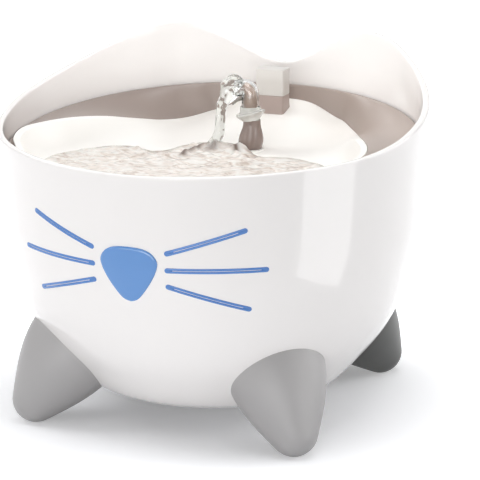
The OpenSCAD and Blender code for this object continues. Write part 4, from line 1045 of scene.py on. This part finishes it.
# painted shade along the back edge, on the crests and at the stream's foot;
# a painted highlight on the curl in front of the stem
shade = 0.5 * np.exp(-(inset / 2.6)**2) * np.clip(2.0 - np.abs(bearings), 0, 1)
for line in CREST:
    shade = np.maximum(shade, np.exp(-(crest_distance(pool_x, pool_y - 1.2, line) / 1.8)**2))
foot_d = np.hypot(pool_x - FOOT_AT[0], (pool_y - FOOT_AT[1] + 4) * 0.45)
shade = np.maximum(shade, 0.75 * np.exp(-(foot_d / 3.6)**2))
stem_d = np.hypot(pool_x - SPOUT[0], pool_y - SPOUT[1])
stem_side = np.degrees(np.arctan2(pool_y - SPOUT[1], pool_x - SPOUT[0])) % 360
foam = np.exp(-((stem_d - 6.8) / 1.5)**2) * np.exp(-((stem_side - 272) / 34)**2)
shade = shade * (1 - foam)
for name, amounts in (("shade", shade), ("foam", foam)):
    values = np.zeros(len(water.data.vertices), np.float32)
    values[:amounts.size] = amounts.ravel()
    water.data.attributes.new(name, "FLOAT", "POINT").data.foreach_set("value", values)
place(water, "tray", "clear", WATER_POOL)

place(ledge, "base", "gloss_white", GLOSS_WHITE)
stand_in(bowl, GLOSS_WHITE, "bowl")
stand_in(deck, TAUPE, "deck")
stand_in(tray, TRAY_WHITE, "drinking_tray")

# ---- the pieces inside


def new_tree(name, *sockets):
    """A geometry tree with named inputs given as (label, kind, value), and its two ends."""
    tree = bpy.data.node_groups.new(name, "GeometryNodeTree")
    tree.interface.new_socket("Geometry", in_out="INPUT", socket_type="NodeSocketGeometry")
    for label, kind, value in sockets:
        socket = tree.interface.new_socket(label, in_out="INPUT", socket_type="NodeSocket" + kind)
        if value is not None:
            socket.default_value = value
    tree.interface.new_socket("Geometry", in_out="OUTPUT", socket_type="NodeSocketGeometry")
    return tree, tree.nodes.new("NodeGroupInput").outputs, tree.nodes.new("NodeGroupOutput").inputs


def finish_tree(tree, geometry, start, end):
    real = step(tree, "GeometryNodeRealizeInstances", {"Geometry": geometry})
    tree.links.new(step(tree, "GeometryNodeSetMaterial",
                        {"Geometry": real, "Material": start["Finish"]}), end["Geometry"])


def item_geometry(tree, start):
    info = tree.nodes.new("GeometryNodeObjectInfo")
    tree.links.new(start["Item"], info.inputs["Object"])
    return info.outputs["Geometry"]


def axis_tree():
    """Copies of an item on the points of a mesh, each turned to the point's axis."""
    tree, start, end = new_tree("copies on axes", ("Item", "Object", None),
                                ("Finish", "Material", None))
    axis = tree.nodes.new("GeometryNodeInputNamedAttribute")
    axis.data_type = "FLOAT_VECTOR"
    axis.inputs["Name"].default_value = "axis"
    turn_to = step(tree, "FunctionNodeAlignRotationToVector",
                   {"Vector": axis.outputs["Attribute"]}, axis="Z")
    spread = step(tree, "GeometryNodeInstanceOnPoints", {
        "Points": start["Geometry"], "Instance": item_geometry(tree, start),
        "Rotation": turn_to})
    finish_tree(tree, spread, start, end)
    return tree


def ring_tree():
    """Copies of an item turned about +Z from a first angle in even steps."""
    tree, start, end = new_tree("copies in a ring", ("Item", "Object", None), ("Count", "Int", 6),
                                ("First", "Float", 0.0), ("Step", "Float", 1.0),
                                ("Finish", "Material", None))
    points = step(tree, "GeometryNodePoints", {"Count": start["Count"]})
    number = tree.nodes.new("GeometryNodeInputIndex").outputs[0]
    angle = step(tree, "ShaderNodeMath", {0: number, 1: start["Step"], 2: start["First"]},
                 operation="MULTIPLY_ADD")
    euler = step(tree, "ShaderNodeCombineXYZ", {"Z": angle})
    spread = step(tree, "GeometryNodeInstanceOnPoints", {
        "Points": points, "Instance": item_geometry(tree, start),
        "Rotation": step(tree, "FunctionNodeEulerToRotation", {"Euler": euler})})
    finish_tree(tree, spread, start, end)
    return tree


def lead_tree():
    """A round lead swept along the edges of a mesh, closed at both ends."""
    tree, start, end = new_tree("round lead", ("Lead radius", "Float", 0.002),
                                ("Sides", "Int", 20), ("Finish", "Material", None))
    line = step(tree, "GeometryNodeMeshToCurve", {"Mesh": start["Geometry"]})
    profile = step(tree, "GeometryNodeCurvePrimitiveCircle",
                   {"Resolution": start["Sides"], "Radius": start["Lead radius"]})
    swept = step(tree, "GeometryNodeCurveToMesh", {
        "Curve": line, "Profile Curve": profile, "Fill Caps": True})
    finish_tree(tree, swept, start, end)
    return tree


def grown(name, points, tree, finish, values, edges=(), axes=None):
    """Runs a tree on points in millimetres with its named inputs set, and keeps a plain mesh."""
    values = {"Finish": finish, **values}
    seed = bpy.data.meshes.new(name + "_seed")
    seed.from_pydata((np.asarray(points, float) * MM).tolist(), list(edges), [])
    if axes is not None:
        layer = seed.attributes.new("axis", "FLOAT_VECTOR", "POINT")
        layer.data.foreach_set("vector", np.asarray(axes, np.float32).ravel())
    holder = bpy.data.objects.new(name, seed)
    bpy.context.scene.collection.objects.link(holder)
    growth = holder.modifiers.new(tree.name, "NODES")
    growth.node_group = tree
    for socket in tree.interface.items_tree:
        if socket.in_out == "INPUT" and socket.name in values:
            growth[socket.identifier] = values[socket.name]
    dg = bpy.context.evaluated_depsgraph_get()
    mesh = bpy.data.meshes.new_from_object(holder.evaluated_get(dg))
    holder.modifiers.clear()
    holder.data = mesh
    mesh.name = name
    bpy.data.meshes.remove(seed)
    if "Item" in values:
        drop(values["Item"])
    turn_outward(mesh)
    mesh.shade_smooth()
    mesh.set_sharp_from_angle(angle=math.radians(35))
    return holder


AXES, RING, LEAD = axis_tree(), ring_tree(), lead_tree()
WASHER_T, SCREW_DEPTH = 1.0, 14.0

# foot screws with a hexagon socket, and their sealing washers
low = 7 + WASHER_T + SCREW_DEPTH - 1
shank = [(0, -low), (SCREW_R - 0.6, -low), (SCREW_R - 0.1, -low + 0.8)]
for z in np.arange(-low + 1.2, -3.0, 0.8):
    shank += [(SCREW_R - 0.05, z), (SCREW_R - 0.3, z + 0.4)]
shank += [(SCREW_R - 0.05, -2.4), (SCREW_R - 0.05, 0), (SCREW_HEAD_R - 0.15, 0),
          (SCREW_HEAD_R, 0.2), (SCREW_HEAD_R, 1.3),
          (SCREW_HEAD_R - 0.3, 1.9), (SCREW_HEAD_R - 1.0, 2.3), (1.9, 2.4), (0, 2.4)]
screw = cut(turned("screw", shank, n=40), turned("socket", pin(1.5, 1, 4), n=6))
washer = turned("washer", [(SCREW_R + 0.02, 0.1), (SCREW_R + 0.15, 0), (SCREW_HEAD_R - 0.2, 0),
                           (SCREW_HEAD_R, 0.25), (SCREW_HEAD_R, WASHER_T - 0.25),
                           (SCREW_HEAD_R - 0.2, WASHER_T), (SCREW_R + 0.15, WASHER_T),
                           (SCREW_R + 0.02, WASHER_T - 0.1)], n=40)
seats, seat_axes = [], []
for spec in FEET.values():
    root, _, _, axis = foot_frame(spec)
    seats.append(root + (wall_cross(spec) + SCREW_SEAT) * axis)
    seat_axes.append(axis)
for name, node, item, lift, finish in (("foot_screw_set", "foot_screws", screw, WASHER_T, STEEL),
                                       ("foot_washer_set", "foot_washers", washer, 0.0, RUBBER)):
    points = np.array(seats) + lift * np.array(seat_axes)
    stand_in(grown(name, points, AXES, finish, {"Item": item}, axes=seat_axes), finish, node)

# three lamps of the nose light, each a domed body with a foot ring
LED_R, LED_SPREAD = 1.5, ((0, 4.2), (-4, -3), (4, -3))
LED_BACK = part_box("nose_leds")[1][1] / MM
dome = [(LED_R * math.cos(t), 1.4 + LED_R * math.sin(t)) for t in np.linspace(0.15, 1.4, 8)]
led = turned("led", [(0, 0), (LED_R, 0), (LED_R, 1.4)] + dome + [(0, 1.4 + LED_R)], n=32)
stand_in(grown("nose_led_set", [(x, LED_BACK, NOSE_Z + z) for x, z in LED_SPREAD], AXES, LED,
               {"Item": led}, axes=[(0, -1, 0)] * 3), LED, "nose_leds")

# suction cups under the pump
cups_low, cups_high = (np.array(v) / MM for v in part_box("suction_cups"))
cup_at = [(x, y, cups_low[2]) for x in (cups_low[0] + 5.5, cups_high[0] - 5.5)
          for y in (cups_low[1] + 5.5, cups_high[1] - 5.5)]
sucker = turned("sucker", [(0, 0.9), (2.4, 0.75), (4, 0.2), (5.2, 0), (5.5, 0.05), (5.3, 0.35),
                           (4.6, 0.95), (3.7, 1.5), (2.8, 1.9), (2.45, 2.3), (2.4, 3),
                           (0, 3)], n=44)
stand_in(grown("suction_cup_set", cup_at, AXES, RUBBER, {"Item": sucker}, axes=[(0, 0, 1)] * 4),
         RUBBER, "suction_cups")

# impeller: a hub with a back plate, and six swept blades
wheel_low, wheel_high = (np.array(v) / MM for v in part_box("impeller"))
wheel_mid = (wheel_low + wheel_high) / 2
WHEEL_R, HUB_R, BORE_R, BLADES = (wheel_high[0] - wheel_low[0]) / 2, 2.4, 1.06, 6
wheel_long = wheel_high[1] - wheel_low[1]
plate_at = wheel_long - 4.0


def on_pump_axis(obj):
    """Lays a piece that was made about +Z on the pump's shaft, which runs along +Y."""
    co = points_of(obj)
    shaft_end = np.array([wheel_mid[0], wheel_low[1], wheel_mid[2]]) * MM
    return set_points(obj, np.c_[co[:, 0], co[:, 2], -co[:, 1]] + shaft_end)


hub = turned("impeller_hub", [
    (BORE_R, 0), (HUB_R - 0.4, 0), (HUB_R, 0.4), (HUB_R, plate_at - 1), (HUB_R + 1, plate_at),
    (WHEEL_R - 0.3, plate_at), (WHEEL_R, plate_at + 0.3), (WHEEL_R, plate_at + 1.1),
    (WHEEL_R - 0.3, plate_at + 1.4), (HUB_R, plate_at + 1.4), (HUB_R, wheel_long),
    (BORE_R, wheel_long)], n=96)
stand_in(on_pump_axis(hub), INNER_WHITE, "impeller")
BLADE_HALF, BLADE_TURN = 0.55, 0.45
sweep = np.linspace(0, 1, 9)
blade_reach = HUB_R - 0.5 + (WHEEL_R - 0.6 - HUB_R) * sweep
blade_turn = BLADE_TURN * sweep**1.5
blade_line = np.c_[blade_reach * np.cos(blade_turn), blade_reach * np.sin(blade_turn)]
ahead = np.gradient(blade_line, axis=0)
ahead_long = np.linalg.norm(ahead, axis=1)[:, None]
blade_side = np.c_[-ahead[:, 1], ahead[:, 0]] / ahead_long * BLADE_HALF
blade_rings = [[(*(p + q), 0.2), (*(p - q), 0.2), (*(p - q), plate_at + 0.3),
                (*(p + q), plate_at + 0.3)] for p, q in zip(blade_line, blade_side)]
blade = loft("blade", blade_rings, (*blade_line[0], plate_at / 2),
             (*blade_line[-1], plate_at / 2), sharp=30)
blades = grown("impeller_blades", [(0, 0, 0)], RING, INNER_WHITE,
               {"Item": blade, "Count": BLADES, "Step": 2 * math.pi / BLADES})
stand_in(on_pump_axis(blades), INNER_WHITE, "impeller")

# clips that hold the nose light's lead to the wall
NOSE_LEAD_R = 1.5
CLIP_R, CLIP_HALF, CLIP_T = 1.95, 2.5, 0.3
nose_lead_ring = bowl_r(GROMMET_Z) - BOWL_WALL - NOSE_LEAD_R - 0.4
hook_rings = []
for t in np.radians(np.arange(50, 311, 13)):
    c, s = math.cos(t), math.sin(t)
    hook_rings.append([(x, -nose_lead_ring + (CLIP_R + g) * c, GROMMET_Z + (CLIP_R + g) * s)
                       for x, g in ((-CLIP_HALF, -CLIP_T), (CLIP_HALF, -CLIP_T),
                                    (CLIP_HALF, CLIP_T), (-CLIP_HALF, CLIP_T))])
clip = loft("clip", hook_rings, np.mean(hook_rings[0], 0), np.mean(hook_rings[-1], 0), sharp=40)
cut(clip, block("clip plate", (-CLIP_HALF, -nose_lead_ring - 1.9, GROMMET_Z - 3),
                (CLIP_HALF, -nose_lead_ring - 1.5, GROMMET_Z + 3)), "UNION")
CLIP_STEP = -math.pi / 6
stand_in(grown("lead_clip_set", [(0, 0, 0)], RING, INNER_WHITE,
               {"Item": clip, "Count": 5, "First": CLIP_STEP, "Step": CLIP_STEP}),
         INNER_WHITE, "lead_clips")

# the leads inside the bowl, each along its own line of points
junction_in = bowl_r(GROMMET_Z) - BOWL_WALL
plug_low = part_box("pump_lead")[1][2] / MM
lead_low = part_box("pump_lead")[0][2] / MM
light_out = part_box("nose_lead")[0][2] / MM
PUMP_LEAD_R = 1.8
LEAD_LINES = {
    "pump_lead": (PUMP_LEAD_R, np.vstack([
        [(22, 43, lead_low), (22, 43, lead_low + 4)],
        spline([(22, 43, lead_low + 7), (20.8, 50, 66), (20.8, 59, 69), (15, 71, 86),
                (8, 88, 112.2), (3, 99, 128.2), (3, 100, 142.2), (3, 100, plug_low)], 8)])),
    "supply_lead": (PUMP_LEAD_R, spline([
        (2, junction_in - 9.1, GROMMET_Z), (2, junction_in - 11, GROMMET_Z),
        (2, junction_in - 13, GROMMET_Z + 0.4), (-1, TOWER_Y + 2, GROMMET_Z + 5),
        (-3, TOWER_Y, GROMMET_Z + 14), (-3, TOWER_Y, plug_low)], 8)),
    "nose_lead": (NOSE_LEAD_R, np.vstack([
        [(0, -109.2, light_out)],
        spline([(0, -109.2, light_out + 5.5), (-1.5, -112.2, GROMMET_Z - 4.5),
                (-8, -nose_lead_ring + 1.6, GROMMET_Z)]
               + [(-nose_lead_ring * math.sin(t), -nose_lead_ring * math.cos(t), GROMMET_Z)
                  for t in np.radians(np.arange(10, 171, 10))]
               + [(-13, junction_in - 6.5, GROMMET_Z), (-5.1, junction_in - 6.7, GROMMET_Z)],
               6)])),
}
for lead_name, (lead_r, line) in LEAD_LINES.items():
    stand_in(grown(lead_name + "_sheath", line, LEAD, RUBBER, {"Lead radius": lead_r * MM},
                   edges=[(k, k + 1) for k in range(len(line) - 1)]), RUBBER, lead_name)

INSIDE = {
    "nose_gasket": RUBBER, "light_pod": INNER_WHITE, "light_board": BOARD,
    "filter_cup": CUP_SMOKE, "filter_lid": INNER_WHITE,
    "filter_foam": FOAM, "carbon_frame": INNER_WHITE, "carbon_pad": CARBON,
    "pump_casing": PUMP_BLACK,
    "pump_back_cover": PUMP_BLACK, "pump_volute_cover": PUMP_BLACK, "flow_dial": INNER_WHITE,
    "rotor_magnet": FERRITE, "rotor_shaft": STEEL,
    "shaft_bushes": BUSH, "stator_core": IRON, "stator_coil": COPPER, "riser_pipe": CLEAR,
    "lead_plug": RUBBER, "lead_socket": PUMP_BLACK, "lead_junction": PUMP_BLACK,
    "cable_grommet": RUBBER,
    "deck_ring": RUBBER, "tray_gasket": SILICONE, "riser_seal": RUBBER,
}
for node, material in INSIDE.items():
    stand_in(copy_of(node), material, node)

# ---- room, light and camera

FLOOR_GLOW = 0.16
SHADE_NEAR, SHADE_FAR = 0.05, 0.28


def seen_directly(tree):
    """1 for rays from the camera, off gloss or through clear pieces, and 0 for the others."""
    rays = tree.nodes.new("ShaderNodeLightPath").outputs
    mirrored = step(tree, "ShaderNodeMath", {0: rays["Is Camera Ray"], 1: rays["Is Glossy Ray"]},
                    operation="MAXIMUM")
    return step(tree, "ShaderNodeMath", {0: mirrored, 1: rays["Is Transmission Ray"]},
                operation="MAXIMUM")


floor = make("floor", [(-4000, -2500, 0), (4000, -2500, 0), (4000, 5000, 0), (-4000, 5000, 0)],
             [(0, 1, 2, 3)], None)
mat = bpy.data.materials.new("studio floor")
mat.use_nodes = True
tree = mat.node_tree
tree.nodes.clear()
distance = step(tree, "ShaderNodeVectorMath", {0: step(tree, "ShaderNodeTexCoord", {}, "Object")},
                "Value", operation="LENGTH")
# the camera sees the floor glow, weak near the object and white further off: painted light that
# washes out the real shadow away from the object and keeps it close by
spread = step(tree, "ShaderNodeMapRange", {
    "From Min": SHADE_NEAR, "From Max": SHADE_FAR, "To Min": FLOOR_GLOW, "To Max": 1.0,
    "Value": distance}, interpolation_type="SMOOTHSTEP")
gain = step(tree, "ShaderNodeMath", {0: seen_directly(tree), 1: spread}, operation="MULTIPLY")
matt = step(tree, "ShaderNodeBsdfDiffuse", {"Color": (0.85, 0.86, 0.885, 1)})
glow = step(tree, "ShaderNodeEmission", {"Color": (1, 1, 1, 1), "Strength": gain})
fill(tree, tree.nodes.new("ShaderNodeOutputMaterial"), {
    "Surface": step(tree, "ShaderNodeAddShader", {0: matt, 1: glow})})
floor.data.materials.append(mat)

world = bpy.data.worlds.new("studio")
bpy.context.scene.world = world
world.use_nodes = True
tree = world.node_tree
tree.nodes.clear()
lit = step(tree, "ShaderNodeBackground", {"Color": (1.0, 0.99, 0.985, 1), "Strength": 0.04})
plain = step(tree, "ShaderNodeBackground", {"Color": (1, 1, 1, 1), "Strength": 1.0})
fill(tree, tree.nodes.new("ShaderNodeOutputWorld"), {
    "Surface": step(tree, "ShaderNodeMixShader", {0: seen_directly(tree), 1: lit, 2: plain})})


def lamp(name, place_at, target, size, watts):
    """A rectangular soft light that the camera does not see."""
    data = bpy.data.lights.new(name, "AREA")
    data.shape = "RECTANGLE"
    data.size, data.size_y = size
    data.energy = watts
    obj = bpy.data.objects.new(name, data)
    bpy.context.scene.collection.objects.link(obj)
    obj.location = place_at
    obj.rotation_euler = (Vector(target) - Vector(place_at)).to_track_quat("-Z", "Y").to_euler()
    obj.visible_camera = False
    return obj


lamp("key", (-1.3, -0.1, 1.2), (0, 0, 0.1), (0.9, 0.9), 9.6)
lamp("top", (0.1, 0.0, 1.9), (0, 0, 0.1), (1.4, 1.4), 16)
lamp("right back", (1.1, 0.65, 0.5), (0, 0, 0.1), (0.8, 0.8), 7.6)
lamp("front", (0.2, -1.8, 0.5), (0, 0, 0.1), (1.0, 1.0), 5.5)
lamp("low front", (0.1, -1.6, 0.13), (0, 0, 0.06), (2.0, 0.24), 8.5)
lamp("left front", (-1.2, -1.2, 0.45), (0, 0, 0.1), (0.6, 0.6), 1.5)
lamp("bowl light", (0.05, -0.10, 0.37), (-0.07, 0.10, 0.19), (0.14, 0.14), 0.24)
# narrow cards that only show as a soft edged band in the gloss of the bowl's right
CARD_X, CARD_TOP, CARD_RIGHT = 0.25, 0.4, -0.145
for name, left, low, watts in (("card 1", -0.03, 0.0, 0.3), ("card 2", -0.058, 0.02, 0.2),
                               ("card 3", -0.088, 0.045, 0.14)):
    at = (CARD_X, (left + CARD_RIGHT) / 2, (low + CARD_TOP) / 2)
    card = lamp(name, at, (0, at[1], at[2]), (left - CARD_RIGHT, CARD_TOP - low), watts)
    card.visible_diffuse = False

CAMERA_AT, CAMERA_AIM = Vector((0.4840, -1.2022, 0.4306)), Vector((0, 0, 0.094945))
FRAME_W, LENS_CENTRE = 480, (212.53, 244.62)
cam_data = bpy.data.cameras.new("camera")
camera = bpy.data.objects.new("camera", cam_data)
bpy.context.scene.collection.objects.link(camera)
camera.location = CAMERA_AT
camera.rotation_euler = (CAMERA_AIM - CAMERA_AT).to_track_quat("-Z", "Y").to_euler()
cam_data.sensor_width = 36
cam_data.lens = 169.25
cam_data.shift_x = (FRAME_W / 2 - LENS_CENTRE[0]) / FRAME_W
cam_data.shift_y = (LENS_CENTRE[1] - FRAME_W / 2) / FRAME_W
cam_data.clip_end = 50
bpy.context.scene.camera = camera
bpy.context.scene.view_settings.view_transform = "Standard"
